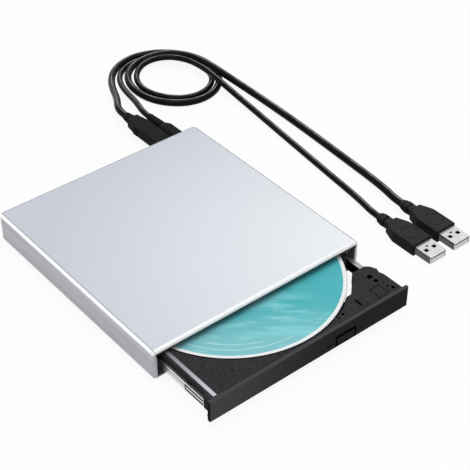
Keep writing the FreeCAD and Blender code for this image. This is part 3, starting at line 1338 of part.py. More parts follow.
def route_wire(points):
    """Straight runs joined by tangent arcs, each as large as its two runs allow."""
    edges, radii = [], []
    last = points[0]
    for before, corner, after in zip(points, points[1:], points[2:]):
        back = (before - corner)
        ahead = (after - corner)
        short = min(back.Length, ahead.Length)
        half_turn = (math.pi - back.getAngle(ahead)) / 2
        reach = 0.45 * short
        radii.append(reach / math.tan(half_turn))
        start = corner + back.normalize() * reach
        end = corner + ahead.normalize() * reach
        bisector = (back + ahead).normalize()
        centre = corner + bisector * (radii[-1] / math.cos(half_turn))
        top = centre - bisector * radii[-1]
        edges.append(Part.LineSegment(last, start).toShape())
        edges.append(Part.Arc(start, top, end).toShape())
        last = end
    edges.append(Part.LineSegment(last, points[-1]).toShape())
    return Part.Wire(edges), radii


def make_cord(name, route, radius, start, end):
    """A round lead along its route, square to the strain reliefs at both ends."""
    lead_in = start + Vector(0, 6, 0)
    lead_out = end + Vector(0, 6, 0)
    points = [start, lead_in] + [Vector(*spot) for spot in route] + [lead_out, end]
    wire, radii = route_wire(points)
    radius = number_of(radius)
    ring = Part.Wire([Part.Circle(start, points[1] - start, radius).toShape()])
    tube = wire.makePipeShell([ring], True, False)
    expected = math.pi * radius ** 2 * wire.Length
    print(f"{name}: length {wire.Length:.1f}, smallest radius {min(radii):.1f}, "
          f"volume {tube.Volume:.0f} of {expected:.0f}")
    print("  radii " + " ".join(f"{value:.0f}" for value in radii))
    print(f"  least gap to itself {least_self_gap(wire, radius):.2f}")
    cord = doc.addObject("Part::Feature", name)
    cord.Shape = tube
    return node(name, cord)


def least_self_gap(wire, radius):
    """Smallest clear distance between stretches of a lead that are far apart along it."""
    spots = wire.discretize(Distance=2.0)
    apart = int(8 * radius / 2.0) + 4
    least = min((a - b).Length for i, a in enumerate(spots) for b in spots[i + apart:])
    return least - 2 * radius


def make_cords():
    front = case_back + s.plug_gap
    level = SIZES["plug_level"]
    usb_level = SIZES["usb_grip_height"] / 2
    usb_end = number_of(s.usb_front + s.usb_shell_length + s.usb_grip_length + s.usb_relief_length)
    data_start = number_of(front + s.data_grip_length + s.data_relief_length)
    power_start = number_of(front + s.power_grip_length + s.power_relief_length)
    make_cord("data_cord", DATA_ROUTE, s.data_cord_radius, Vector(SIZES["data_x"], data_start, level),
              Vector(SIZES["usb_data_x"], usb_end, usb_level))
    make_cord("power_cord", POWER_ROUTE, s.power_cord_radius, Vector(SIZES["power_x"], power_start, level),
              Vector(SIZES["usb_power_x"], usb_end, usb_level))


screw_places = make_bottom_shell()
make_top_panel()
make_case_fittings(screw_places)
make_drive_chassis()
make_guide_and_rail("left", -1)
make_guide_and_rail("right", 1)
make_tray()
make_tray_fittings()
make_bezel()
make_button()
make_latch()
make_traverse()
make_sled()
make_spindle()
make_disc()
make_boards()
make_ribbon()
make_sockets()
make_rear_plugs()
make_usb_plug("usb_data", s.usb_data_x, s.data_cord_radius)
make_usb_plug("usb_power", s.usb_power_x, s.power_cord_radius)
make_cords()

doc.recompute()
faults = [thing.Name for thing in doc.Objects if {"Invalid", "Error"} & set(thing.State)]
for name, thing in nodes.items():
    shape = thing.Shape
    if shape.isNull() or not shape.isValid() or not shape.Solids:
        faults.append(name)
if faults:
    raise RuntimeError("failed: " + ", ".join(faults))

os.makedirs("parts", exist_ok=True)
for name, thing in nodes.items():
    thing.Shape.exportStep(f"parts/{name}.step")
print(f"{len(nodes)} parts written")
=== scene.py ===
"""Looks of a slim external disc writer: tray drawn out, disc on its hub, two USB leads behind."""

import math

import bmesh
import bpy
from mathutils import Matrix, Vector


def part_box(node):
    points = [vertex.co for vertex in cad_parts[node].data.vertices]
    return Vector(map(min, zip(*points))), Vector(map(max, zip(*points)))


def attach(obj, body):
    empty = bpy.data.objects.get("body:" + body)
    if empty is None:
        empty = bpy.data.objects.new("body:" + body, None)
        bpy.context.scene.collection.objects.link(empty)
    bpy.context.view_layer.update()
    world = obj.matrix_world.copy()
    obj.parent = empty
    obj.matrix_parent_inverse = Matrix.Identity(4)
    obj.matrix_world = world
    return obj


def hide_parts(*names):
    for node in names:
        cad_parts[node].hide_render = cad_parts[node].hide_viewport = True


bl_info = {
    "name": "External disc writer",
    "version": (1, 0, 0),
    "blender": (4, 5, 0),
    "location": "3D View > Sidebar > Disc writer",
    "description": "Finishes, leads, plugs and small parts of a slim external disc writer",
    "category": "Object",
}

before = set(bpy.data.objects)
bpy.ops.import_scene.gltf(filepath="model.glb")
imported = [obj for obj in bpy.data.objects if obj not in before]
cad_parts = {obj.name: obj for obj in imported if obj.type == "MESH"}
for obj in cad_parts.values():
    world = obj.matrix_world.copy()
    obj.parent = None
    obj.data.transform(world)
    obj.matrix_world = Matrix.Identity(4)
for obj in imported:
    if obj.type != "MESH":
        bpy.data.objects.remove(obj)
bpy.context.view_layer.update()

MM = 0.001
WHITE = (1.0, 1.0, 1.0)

# Faces of the pieces that the finishes follow, in millimetres.
CASE_FRONT = -50.0
LID_SIDE = 65.3
BEZEL_FRONT = -90.0
RAIL_FRONT = -82.0
TRAY_TOP = 14.0
USB_MOUTH = -74.0
DISC_TOP = 12.7
DISC_CENTRE = (1.0, -24.5)
DISC_RADIUS = 60.0

# Direction in which the print of the disc flows, as a sine and a cosine, and how far it is drawn out.
FLOW_SINE, FLOW_COSINE, FLOW_STRETCH = 0.632, 0.775, 6.0

# The camera's place in metres, and its tilt and heading in degrees.
CAMERA_PLACE = (-0.31317, -0.41314, 0.44371)
CAMERA_TILT, CAMERA_HEADING = 51.09, -39.23

# Each lamp's size, place, aim, colour and roll in degrees, under the name of its power setting.
LAMPS = {
    "key": ((1.3, 1.3), (0.30, -0.05, 1.50), (0.03, 0.0, 0.0), (1.0, 0.995, 0.98), 0.0),
    "strip": ((1.7, 0.07), (0.0, 0.0, 1.2), (0.0, 0.0, 0.0), WHITE, -41.0),
    "fill": ((1.2, 0.9), (-0.9, -0.9, 0.9), (0.0, -0.02, 0.0), (0.98, 0.99, 1.0), 0.0),
    "rear": ((1.2, 0.5), (0.3, 1.5, 0.32), (0.0, 0.05, 0.01), WHITE, 0.0),
}

# Control points of the leads, in millimetres, from the rear plug to the USB plug.
DATA_LEAD = (
    (50.0, 136.5, 7.8), (50.0, 142.5, 7.8), (52.2, 148.7, 7.7), (56.3, 154.9, 6.6), (60.5, 162.5, 4.9),
    (64.4, 171.0, 3.4), (68.8, 179.6, 2.5), (74.4, 187.3, 2.3), (81.6, 193.1, 2.3), (90.1, 196.5, 2.3),
    (99.2, 197.3, 2.4), (108.4, 195.2, 2.3), (116.7, 190.6, 2.3), (123.7, 183.9, 2.3),
    (128.8, 175.6, 2.3), (131.8, 166.3, 2.3), (132.2, 156.7, 2.3), (129.9, 147.4, 2.3),
    (125.1, 139.2, 2.3), (118.1, 133.0, 2.3), (109.7, 129.6, 2.3), (100.7, 129.3, 2.3),
    (92.1, 132.1, 2.3), (84.7, 137.8, 2.4), (79.2, 145.8, 2.3), (76.2, 155.1, 2.3), (75.8, 164.6, 2.5),
    (77.7, 173.0, 2.8), (81.5, 179.6, 3.1), (86.6, 184.3, 3.5), (92.7, 187.3, 3.9), (99.5, 188.2, 4.4),
    (106.7, 187.1, 5.1), (113.7, 183.7, 5.8), (119.6, 178.1, 6.4), (123.7, 170.3, 7.0),
    (125.8, 161.0, 7.5), (126.7, 151.0, 7.7), (127.2, 140.9, 7.3), (128.2, 131.0, 6.2),
    (129.5, 120.6, 4.9), (130.7, 108.5, 3.6), (131.3, 93.4, 2.8), (131.1, 74.8, 2.4), (130.2, 53.6, 2.3),
    (128.9, 32.3, 2.3), (127.3, 13.2, 2.7), (125.6, -2.4, 3.4), (123.7, -14.3, 3.9), (121.9, -23.0, 3.9),
    (121.9, -29.0, 3.9),
)
POWER_LEAD = (
    (60.5, 127.0, 7.8), (60.5, 133.0, 7.8), (62.9, 141.2, 7.3), (65.8, 150.2, 6.0), (68.3, 160.0, 4.3),
    (71.1, 170.0, 2.9), (74.8, 179.1, 2.1), (80.3, 186.5, 1.9), (88.0, 191.1, 1.9), (97.0, 192.7, 1.9),
    (106.2, 191.1, 1.9), (114.6, 186.5, 1.9), (121.3, 179.2, 1.9), (125.7, 170.3, 1.9),
    (127.5, 160.6, 1.9), (126.5, 151.3, 1.9), (122.6, 143.5, 1.9), (116.4, 138.1, 1.9),
    (108.7, 135.3, 1.9), (100.5, 135.6, 1.9), (92.8, 139.1, 1.9), (86.7, 145.5, 2.0), (82.7, 153.7, 1.9),
    (81.4, 162.4, 1.9), (82.6, 170.1, 2.3), (85.8, 176.1, 2.9), (90.1, 180.3, 3.6), (95.3, 182.8, 4.4),
    (100.9, 183.5, 5.0), (106.7, 182.2, 5.5), (112.4, 178.9, 5.9), (117.2, 173.4, 6.3),
    (120.3, 165.6, 6.7), (121.4, 156.3, 7.1), (121.3, 146.2, 7.3), (120.6, 135.9, 7.0),
    (119.9, 125.0, 6.0), (119.5, 112.5, 4.7), (118.8, 96.8, 3.4), (117.3, 77.6, 2.4), (115.2, 55.9, 1.9),
    (112.7, 34.0, 1.9), (110.1, 14.3, 2.3), (107.7, -1.8, 3.1), (105.4, -14.1, 3.8), (103.5, -23.0, 3.9),
    (103.5, -29.0, 3.9),
)


def paint(name, place, default):
    return bpy.props.FloatVectorProperty(
        name=name, description=f"Colour of {place}", subtype="COLOR", size=3, min=0.0, max=1.0,
        default=default)


def size(name, text, default):
    return bpy.props.FloatProperty(
        name=name, description=text, unit="LENGTH", subtype="DISTANCE", min=0.0, default=default,
        precision=5)


def share(name, text, default, high=1.0):
    return bpy.props.FloatProperty(name=name, description=text, min=0.0, max=high, default=default)


def count(name, text, default):
    return bpy.props.IntProperty(name=name, description=text, min=1, default=default)


class CaseFinish(bpy.types.PropertyGroup):
    """Anodised shell of the drive"""
    shell: paint("Shell", "the brushed shell", (0.580, 0.598, 0.640))
    lid: paint("Lid", "the lid at its left and back", (0.525, 0.558, 0.625))
    # Painted light: the lid's colour at its right front corner.
    painted_light_corner: paint("Lit corner", "the lid at its right front corner", (0.82, 0.85, 0.885))
    # Painted shade in the mouth and under the lid's lip.
    inside: paint("Inside", "the bare inside of the shell", (0.075, 0.070, 0.068))
    # Also painted along the front lip as a painted highlight.
    chamfer_and_painted_highlight: paint("Chamfer", "the polished edge round the lid", (0.97, 0.975, 0.98))
    streak: size("Brush streak", "Width of one brush streak", 0.0004)
    brushing: share("Brushing", "How strongly the brushing shows", 0.06)


class SteelFinish(bpy.types.PropertyGroup):
    """Bright steel beside the tray"""
    rail: paint("Rail", "the telescopic rails", (0.60, 0.60, 0.63))
    strip: paint("Strip", "the bright strip on the tray", (0.52, 0.52, 0.57))


class TrayFinish(bpy.types.PropertyGroup):
    """Moulded plastic of the tray, bezel and button"""
    tray: paint("Tray", "the tray moulding", (0.0350, 0.0350, 0.0405))
    bezel: paint("Bezel", "the bezel and its button", (0.0300, 0.0300, 0.0340))
    grain: size("Grain", "Size of the moulded grain", 0.0005)


class DiscPrint(bpy.types.PropertyGroup):
    """Printed face of the disc"""
    ink: paint("Ink", "the print", (0.070, 0.480, 0.530))
    pale_ink: paint("Pale ink", "the soft streaks in the print", (0.27, 0.70, 0.76))
    rim: size("White rim", "Width of the white band round the edge", 0.0022)
    hub: size("Hub radius", "Radius of the bare plastic round the hole", 0.0205)


class LeadSizes(bpy.types.PropertyGroup):
    """The two leads and their sheath"""
    data_diameter: size("Data lead", "Diameter of the data lead", 0.0046)
    power_diameter: size("Power lead", "Diameter of the power lead", 0.0038)
    sheath: paint("Sheath", "the sheath", (0.0022, 0.0022, 0.0024))


class PlugSizes(bpy.types.PropertyGroup):
    """Moulded grips and the contacts inside the plugs"""
    grip: paint("Grip", "the moulded grips", (0.0055, 0.0055, 0.0058))
    contacts: count("Contacts", "Gold contacts in each USB plug", 4)
    contact_width: size("Contact width", "Width of one gold contact", 0.0011)


class MechanismSizes(bpy.types.PropertyGroup):
    """Thread, windings and screw recesses inside the tray"""
    thread_pitch: size("Thread pitch", "Advance of the lead screw in one turn", 0.003)
    coil_turns: count("Coil turns", "Turns of wire on one motor pole", 9)
    coils: count("Coils", "Poles of the disc motor", 9)
    leg_pitch: size("Leg pitch", "Distance between the legs of a chip", 0.00065)
    recess: size("Screw recess", "Depth of the cross in a screw head", 0.0005)


class StudioSettings(bpy.types.PropertyGroup):
    """Floor, lamps and camera"""
    floor: size("Floor", "Half the side of the floor", 3.0)
    ambient: share("Ambient", "Strength of the light from all round", 0.42)
    key: share("Key lamp", "Power of the large lamp overhead, in watts", 4.6, 100.0)
    strip: share("Strip lamp", "Power of the narrow lamp overhead, in watts", 5.6, 100.0)
    fill: share("Fill lamp", "Power of the lamp in front, in watts", 3.0, 100.0)
    rear: share("Rear lamp", "Power of the lamp behind, in watts", 1.4, 100.0)
    lens: share("Lens", "Focal length of the camera, in millimetres", 98.51, 500.0)


def both_forms(operation):
    """The plain and the reflected method of one arithmetic sign."""
    def plain(self, other):
        return self.tree.maths(operation, self, other)

    def reflected(self, other):
        return self.tree.maths(operation, other, self)

    return plain, reflected


class Shade:
    """One value or colour running over a surface, which can be written in sums."""

    def __init__(self, tree, socket):
        self.tree = tree
        self.socket = socket

    __add__, __radd__ = both_forms("ADD")
    __sub__, __rsub__ = both_forms("SUBTRACT")
    __mul__, __rmul__ = both_forms("MULTIPLY")
    __truediv__, __rtruediv__ = both_forms("DIVIDE")
    __pow__, __rpow__ = both_forms("POWER")

    def __abs__(self):
        return self.tree.maths("ABSOLUTE", self)


class Tree:
    """A node tree; every node comes from node(), and sums on its values are plain expressions."""

    def __init__(self, tree):
        self.tree = tree
        tree.nodes.clear()

    def node(self, kind, inputs=None, settings=None, output=0):
        """Makes a node, sets it up, feeds its sockets and gives one of its outputs."""
        made = self.tree.nodes.new(kind)
        for key, setting in (settings or {}).items():
            if key == "stops":
                ramp = made.color_ramp
                while len(ramp.elements) < len(setting):
                    ramp.elements.new(0.5)
                for element, (position, value) in zip(ramp.elements, setting):
                    element.position = position
                    element.color = (*value, 1.0)
            else:
                setattr(made, key, setting)
        for key, value in (inputs or {}).items():
            self.feed(made.inputs[key], value)
        return Shade(self, made.outputs[output]) if made.outputs else None

    def feed(self, socket, value):
        """Gives a socket its value, its link or its several links."""
        if isinstance(value, list):
            for each in value:
                self.feed(socket, each)
        elif isinstance(value, Shade):
            self.tree.links.new(value.socket, socket)
        elif socket.type == "RGBA" and len(value) == 3:
            socket.default_value = (*value, 1.0)
        else:
            socket.default_value = value

    def outputs(self, shade, *keys):
        """Several outputs of the node that a value comes from."""
        sockets = shade.socket.node.outputs
        return [Shade(self, sockets[key]) for key in keys]

    def maths(self, operation, *terms):
        return self.node("ShaderNodeMath", dict(enumerate(terms)), {"operation": operation})

    def most(self, first, *others):
        """The largest of several values."""
        for other in others:
            first = self.maths("MAXIMUM", first, other)
        return first

    def vector(self, x=0.0, y=0.0, z=0.0):
        return self.node("ShaderNodeCombineXYZ", {0: x, 1: y, 2: z})

    def backdrop(self):
        """1 for what the camera, gloss and glass see, 0 for the light that falls on the object."""
        path = self.node("ShaderNodeLightPath")
        return self.most(*self.outputs(path, "Is Camera Ray", "Is Glossy Ray", "Is Transmission Ray"))


class Finish(Tree):
    """A material and the tree that makes it; its colour is laid on coat by coat."""

    def __init__(self, name):
        self.material = bpy.data.materials.new(name)
        self.material.use_nodes = True
        super().__init__(self.material.node_tree)
        self.colour = self.normal = self.edge = None

    def place(self, scale=(1, 1, 1), turn=(0, 0, 0), shift=(0, 0, 0)):
        """Object coordinates in metres, scaled, turned and moved."""
        spot = self.node("ShaderNodeTexCoord", output="Object")
        return self.node("ShaderNodeMapping",
                         {"Vector": spot, "Scale": scale, "Rotation": turn, "Location": shift})

    def parts(self, vector=None):
        """x, y and z of a place."""
        split = self.node("ShaderNodeSeparateXYZ", {0: vector or self.place()})
        return self.outputs(split, 0, 1, 2)

    def facing(self):
        """x, y and z of the surface's own direction."""
        return self.parts(self.node("ShaderNodeNewGeometry", output="Normal"))

    def radius(self, x, y):
        """Distance from the z axis."""
        return (x * x + y * y) ** 0.5

    def span(self, value, low, high, to_low=0.0, to_high=1.0):
        """A smooth step from low to high."""
        limits = {"From Min": low, "From Max": high, "To Min": to_low, "To Max": to_high}
        return self.node("ShaderNodeMapRange", {"Value": value, **limits},
                         {"interpolation_type": "SMOOTHSTEP"})

    def past(self, value, start, stop):
        """0 before start and 1 past stop, which are places in millimetres."""
        return self.span(value, start * MM, stop * MM)

    def between(self, value, low, high, soft=0.1):
        """1 from low to high, which are places in millimetres, with soft ends."""
        return self.past(value, low - soft, low) * self.past(value, high + soft, high)

    def noise(self, scale, detail=2.0, roughness=0.5, vector=None):
        return self.node("ShaderNodeTexNoise", {
            "Vector": vector or self.place(), "Scale": scale, "Detail": detail, "Roughness": roughness})

    def streaks(self, scale, detail, thin=0.02, along="y"):
        """Noise drawn out along one axis."""
        stretch = tuple(thin if axis == along else 1.0 for axis in "xyz")
        return self.noise(scale, detail, vector=self.place(scale=stretch))

    def cells(self, scale, output="Distance"):
        return self.node("ShaderNodeTexVoronoi", {"Vector": self.place(), "Scale": scale}, output=output)

    def bands(self, vector, scale, distortion=0.0):
        return self.node("ShaderNodeTexWave", {"Vector": vector, "Scale": scale, "Distortion": distortion})

    def mix(self, share, first, second):
        """The first colour where share is 0, the second where it is 1."""
        return self.node("ShaderNodeMix", {0: share, 6: first, 7: second}, {"data_type": "RGBA"}, 2)

    def waver(self, share, base, down, up):
        """First coat: a base that wavers from a deeper to a paler tone."""
        self.colour = self.mix(share, deeper(base, down), paler(base, up))

    def cover(self, share, paint):
        """One more coat, which hides the ones before it where share is 1."""
        self.colour = self.mix(share, self.colour, paint)

    def soft_edge(self, radius):
        """Rounds the edges by a radius in millimetres, and gives how near an edge is."""
        self.normal = self.node("ShaderNodeBevel", {"Radius": radius * MM})
        flat = self.node("ShaderNodeNewGeometry", output="Normal")
        agree = self.node("ShaderNodeVectorMath", {0: self.normal, 1: flat}, {"operation": "DOT_PRODUCT"},
                          "Value")
        self.edge = self.span(1.0 - agree, 0.02, 0.25)
        return self.edge

    def bump(self, height, strength, depth):
        """Relief, whose depth is in millimetres."""
        inputs = {"Height": height, "Strength": strength, "Distance": depth * MM}
        if self.normal:
            inputs["Normal"] = self.normal
        self.normal = self.node("ShaderNodeBump", inputs)

    def close(self, roughness, metallic=0.0, **fixed):
        inputs = {"Base Color": self.colour, "Roughness": roughness, "Metallic": metallic,
                  "Normal": self.normal}
        for key, value in fixed.items():
            inputs[key.replace("_", " ").title().replace("Ior", "IOR")] = value
        surface = self.node("ShaderNodeBsdfPrincipled", inputs)
        self.node("ShaderNodeOutputMaterial", {"Surface": surface})
        return self.material


class Recipe(Tree):
    """A Geometry Nodes tree with named inputs, which grow() runs once."""

    def __init__(self, name, **sizes):
        super().__init__(bpy.data.node_groups.new(name, "GeometryNodeTree"))
        self.sizes = sizes
        sockets = self.tree.interface
        sockets.new_socket(name="Places", in_out="INPUT", socket_type="NodeSocketGeometry")
        for label, value in sizes.items():
            kind = "NodeSocketInt" if isinstance(value, int) else "NodeSocketFloat"
            sockets.new_socket(name=label.replace("_", " "), in_out="INPUT", socket_type=kind)
        sockets.new_socket(name="Result", in_out="OUTPUT", socket_type="NodeSocketGeometry")
        self.places, *self.inputs = self.outputs(
            self.node("NodeGroupInput"), "Places", *(label.replace("_", " ") for label in sizes))

    def moved(self, shape, shift=(0, 0, 0), turn=(0, 0, 0), scale=(1, 1, 1)):
        return self.node("GeometryNodeTransform",
                         {"Geometry": shape, "Translation": shift, "Rotation": turn, "Scale": scale})

    def joined(self, *shapes):
        return self.node("GeometryNodeJoinGeometry", {"Geometry": list(shapes)})

    def cylinder(self, sides, radius, depth, middle):
        """An upright cylinder whose middle lies at a height."""
        shape = self.node("GeometryNodeMeshCylinder",
                          {"Vertices": sides, "Radius": radius, "Depth": depth})
        return self.moved(shape, self.vector(z=middle))

    def spiral(self, steps, turns, radius, height):
        return self.node("GeometryNodeCurveSpiral", {
            "Resolution": steps, "Rotations": turns, "Start Radius": radius, "End Radius": radius,
            "Height": height})

    def bend(self, steps, start, middle, end):
        return self.node("GeometryNodeCurveQuadraticBezier",
                         {"Resolution": steps, "Start": start, "Middle": middle, "End": end})

    def circle(self, sides, radius):
        return self.node("GeometryNodeCurvePrimitiveCircle", {"Resolution": sides, "Radius": radius})

    def bar(self, width, height):
        return self.node("GeometryNodeCurvePrimitiveQuadrilateral", {"Width": width, "Height": height})

    def tube(self, line, profile):
        return self.node("GeometryNodeCurveToMesh",
                         {"Curve": line, "Profile Curve": profile, "Fill Caps": True})

    def turn(self):
        """The turn that grow() stores on each place."""
        return self.node("GeometryNodeInputNamedAttribute", {"Name": "turn"})

    def copies(self, shape, turn=(0, 0, 0), points=None):
        """One copy of a shape on each point, which is one of the places if nothing else is named."""
        return self.node("GeometryNodeInstanceOnPoints",
                         {"Points": points or self.places, "Instance": shape, "Rotation": turn})

    def end(self, shape, material):
        real = self.node("GeometryNodeRealizeInstances", {"Geometry": shape})
        dressed = self.node("GeometryNodeSetMaterial", {"Geometry": real, "Material": material})
        self.node("NodeGroupOutput", {0: dressed})
        return self


def put(name, data):
    """A new object in the scene."""
    made = bpy.data.objects.new(name, data)
    bpy.context.scene.collection.objects.link(made)
    return made


def grow(recipe, name, body, places=((0, 0, 0),), turns=None):
    """Runs a recipe on a few places and keeps what it makes as a plain mesh on a body."""
    seeds = bpy.data.meshes.new(f"{name}_places")
    seeds.from_pydata(places, [], [])
    if turns:
        seeds.attributes.new("turn", "FLOAT", "POINT").data.foreach_set("value", turns)
    piece = put(name, seeds)
    modifier = piece.modifiers.new("recipe", "NODES")
    modifier.node_group = recipe.tree
    for item in recipe.tree.interface.items_tree:
        label = item.name.replace(" ", "_")
        if item.in_out == "INPUT" and label in recipe.sizes:
            modifier[item.identifier] = recipe.sizes[label]
    seen = piece.evaluated_get(bpy.context.evaluated_depsgraph_get())
    mesh = bpy.data.meshes.new_from_object(seen)
    mesh.name = name
    piece.modifiers.remove(modifier)
    piece.data = mesh
    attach(piece, body)
    return piece


def islands(name):
    """Lowest and highest corners of each separate solid of a node, from left to right."""
    bm = bmesh.new()
    bm.from_mesh(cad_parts[name].data)
    bmesh.ops.remove_doubles(bm, verts=bm.verts, dist=1e-6)
    waiting = set(bm.verts)
    found = []
    while waiting:
        queue = [waiting.pop()]
        reached = list(queue)
        while queue:
            for edge in queue.pop().link_edges:
                for vert in edge.verts:
                    if vert in waiting:
                        waiting.remove(vert)
                        queue.append(vert)
                        reached.append(vert)
        low = Vector(min(v.co[k] for v in reached) for k in range(3))
        high = Vector(max(v.co[k] for v in reached) for k in range(3))
        found.append((low, high))
    bm.free()
    return sorted(found, key=lambda pair: (round(pair[0].x, 5), round(pair[0].y, 5)))


def paler(colour, share):
    """A colour moved towards white by a share."""
    return tuple(c + (1.0 - c) * share for c in colour)


def deeper(colour, share):
    """A colour moved towards black by a share."""
    return tuple(c * (1.0 - share) for c in colour)


def brushed_shell(settings):
    """Anodised aluminium, brushed from front to back, its rim turned bright; painted light on the lid and
    its front lip, painted shade on the walls, in the mouth and under the lip.
    """
    f = Finish("brushed_shell")
    side, inside = settings.shell, settings.inside
    fine = f.streaks(1.0 / settings.streak, 3.0, 0.012)
    drawn = f.span(f.streaks(900.0, 2.0), 0.32, 0.68)
    lines = f.span(f.streaks(420.0, 2.0, 0.01), 0.36, 0.64)
    x, y, z = f.parts()
    out = abs(x)
    up = f.facing()[2]
    # The lid is darker than the walls and grows lighter towards its right front corner, where a pool of
    # light is painted.
    corner_x, corner_y, fade = 0.067, -0.050, 6.1
    painted_light_sweep = f.most(1.0 - f.radius(x - corner_x, y - corner_y) * fade, 0.0)
    lid = f.mix(painted_light_sweep, settings.lid, settings.painted_light_corner)
    walls = f.mix(drawn * 0.4 + lines * 0.6, paler(side, 0.05), deeper(side, 0.27))
    # Painted shade: the walls grow darker towards the bottom.
    walls = f.mix(f.past(z, 18.5, 2.0) * 0.35, walls, deeper(side, 0.45))
    f.colour = f.mix(f.span(up, 0.5, 0.9), walls, lid)
    f.cover(f.noise(14.0) * 0.10, paler(side, 0.05))
    f.cover(f.span(fine, 0.35, 0.65) * settings.brushing, paler(side, 0.35))
    # The polished rim runs round the lid's sides; along its front the lip is painted near-white and almost
    # without metal, a painted highlight.
    sides = f.past(out, LID_SIDE + 0.15, LID_SIDE + 0.45) * f.past(z, 17.30, 17.50)
    front = f.past(y, CASE_FRONT + 2.2, CASE_FRONT + 1.6) * f.past(z, 16.25, 16.65)
    rim = f.most(sides, front)
    f.cover(f.most(rim, f.soft_edge(0.35) * 0.40), settings.chamfer_and_painted_highlight)
    # Painted shade: the inside of the mouth and the underside of the lid's lip are darkened, and a painted
    # shadow line runs along the lip's lower edge.
    mouth = f.past(out, LID_SIDE - 0.45, LID_SIDE - 0.75) * f.past(y, CASE_FRONT - 0.05, CASE_FRONT + 0.05)
    ledge = f.past(z, 16.10, 16.00) * f.span(up, 0.9, 0.6)
    lip = f.past(z, 15.00, 15.20)
    under = lip * f.span(up, -0.5, -0.8) * f.past(y, CASE_FRONT + 10.0, CASE_FRONT + 7.0)
    painted_shadow_line = lip * f.past(z, 17.10, 16.85) * f.past(out, LID_SIDE - 0.1, LID_SIDE - 0.3)
    painted_shadow_line = painted_shadow_line * f.past(y, CASE_FRONT + 3.0, CASE_FRONT + 2.0)
    dark = f.most(mouth * f.most(ledge, f.past(z, 10.0, 9.0)), under, painted_shadow_line)
    f.cover(dark, inside)
    f.cover(painted_shadow_line, deeper(inside, 0.9))
    f.bump(fine * 0.6 + f.noise(5200.0, 1.0) * 0.4, 0.10, 0.05)
    # The painted highlight on the front lip is almost without metal.
    metal = (0.42 + sides * 0.50) * (1.0 - dark * 0.9) * (1.0 - front * 0.85)
    return f.close(0.40 + fine * 0.10 - rim * 0.20 + dark * 0.2, metal, specular_ior_level=0.45)


def pressed_steel(name, base, rough, metal, spangle=0.16):
    """Plated sheet steel with a faint spangle and hair scratches."""
    f = Finish(name)
    flakes = f.parts(f.cells(420.0, "Color"))[0]
    cloud = f.noise(60.0, 3.0)
    hair = f.noise(2600.0, vector=f.place(scale=(1.0, 0.03, 1.0), turn=(0, 0, 0.06)))
    edge = f.soft_edge(0.25)
    f.waver(flakes * spangle + cloud * spangle, base, 0.22, 0.18)
    f.cover(edge * 0.7, paler(base, 0.6))
    f.bump(hair * 0.6 + cloud * 0.4, 0.08, 0.06)
    return f.close(rough + cloud * 0.10 + flakes * 0.05 - edge * 0.10, metal)


def lined_steel(name, radius, along="y"):
    """Begins a steel with fine drawing lines, and gives its finish and the lines."""
    f = Finish(name)
    lines = f.streaks(3200.0, 3.0, along=along)
    f.soft_edge(radius)
    f.bump(lines, 0.05, 0.03)
    return f, lines


def drawn_steel(name, base, rough, along):
    """Bright steel with fine drawing lines."""
    f, lines = lined_steel(name, 0.20, along)
    smudge = f.noise(90.0)
    f.waver(lines * 0.3 + smudge * 0.2, base, 0.14, 0.25)
    f.cover(f.edge * 0.6, paler(base, 0.7))
    return f.close(rough + smudge * 0.12, 1.0)


def rail_steel(settings):
    """Roll-formed rail: painted highlights on its outer edges, a drawn web with painted shade towards its
    top, and a punched slot at its front end with painted shade and a painted highlight.
    """
    f, lines = lined_steel("rail_steel", 0.20)
    base = settings.rail
    y, z = f.parts()[1:]
    web = f.span(abs(f.facing()[0]), 0.6, 0.9)
    smudge = f.noise(90.0)
    # Painted shade: the web is darker towards its top and paler towards its foot.
    f.waver(f.past(z, 9.8, 5.6), base, 0.42, 0.30)
    f.cover(lines * 0.25 + smudge * 0.15, paler(base, 0.25))
    # Painted shade: a black border runs over, under and behind the slot, and its floor is darkened around
    # one painted highlight line.
    front, back, foot, crown = RAIL_FRONT + 0.4, RAIL_FRONT + 14.4, 5.8, 9.7
    slot = web * f.between(y, front, back)
    behind = f.between(y, back - 0.8, back) * f.between(z, foot, crown)
    black = f.span(slot * (f.between(z, crown - 1.1, crown) + f.between(z, foot, foot + 1.1) + behind),
                   0.2, 0.5)
    f.cover(slot * f.between(z, 7.0, 8.5), (0.20, 0.20, 0.21))
    f.cover(slot * f.between(z, 7.5, 8.0), (0.90, 0.90, 0.91))
    f.cover(black, (0.012, 0.012, 0.013))
    # Painted highlight: the web's upper and lower edges and its rounded edges are near-white.
    painted_edge_highlights = f.most(web * f.past(z, 9.75, 9.85), web * f.past(z, 5.7, 5.6), f.edge * 0.6)
    f.cover(painted_edge_highlights, (0.97, 0.97, 0.97))
    return f.close(0.24 + smudge * 0.12 + black * 0.4, 0.95 - black * 0.9)


def strip_steel(settings):
    """Polished strip on the tray's edge, which darkens towards the mouth of the case with painted shade."""
    f, lines = lined_steel("strip_steel", 0.15)
    base = settings.strip
    # Painted shade: darker towards the mouth of the case.
    f.waver(f.past(f.parts()[1], CASE_FRONT + 2.0, BEZEL_FRONT + 4.0), base, 0.66, 0.0)
    f.cover(lines * 0.16, paler(base, 0.25))
    return f.close(0.42 + lines * 0.1, 0.35)


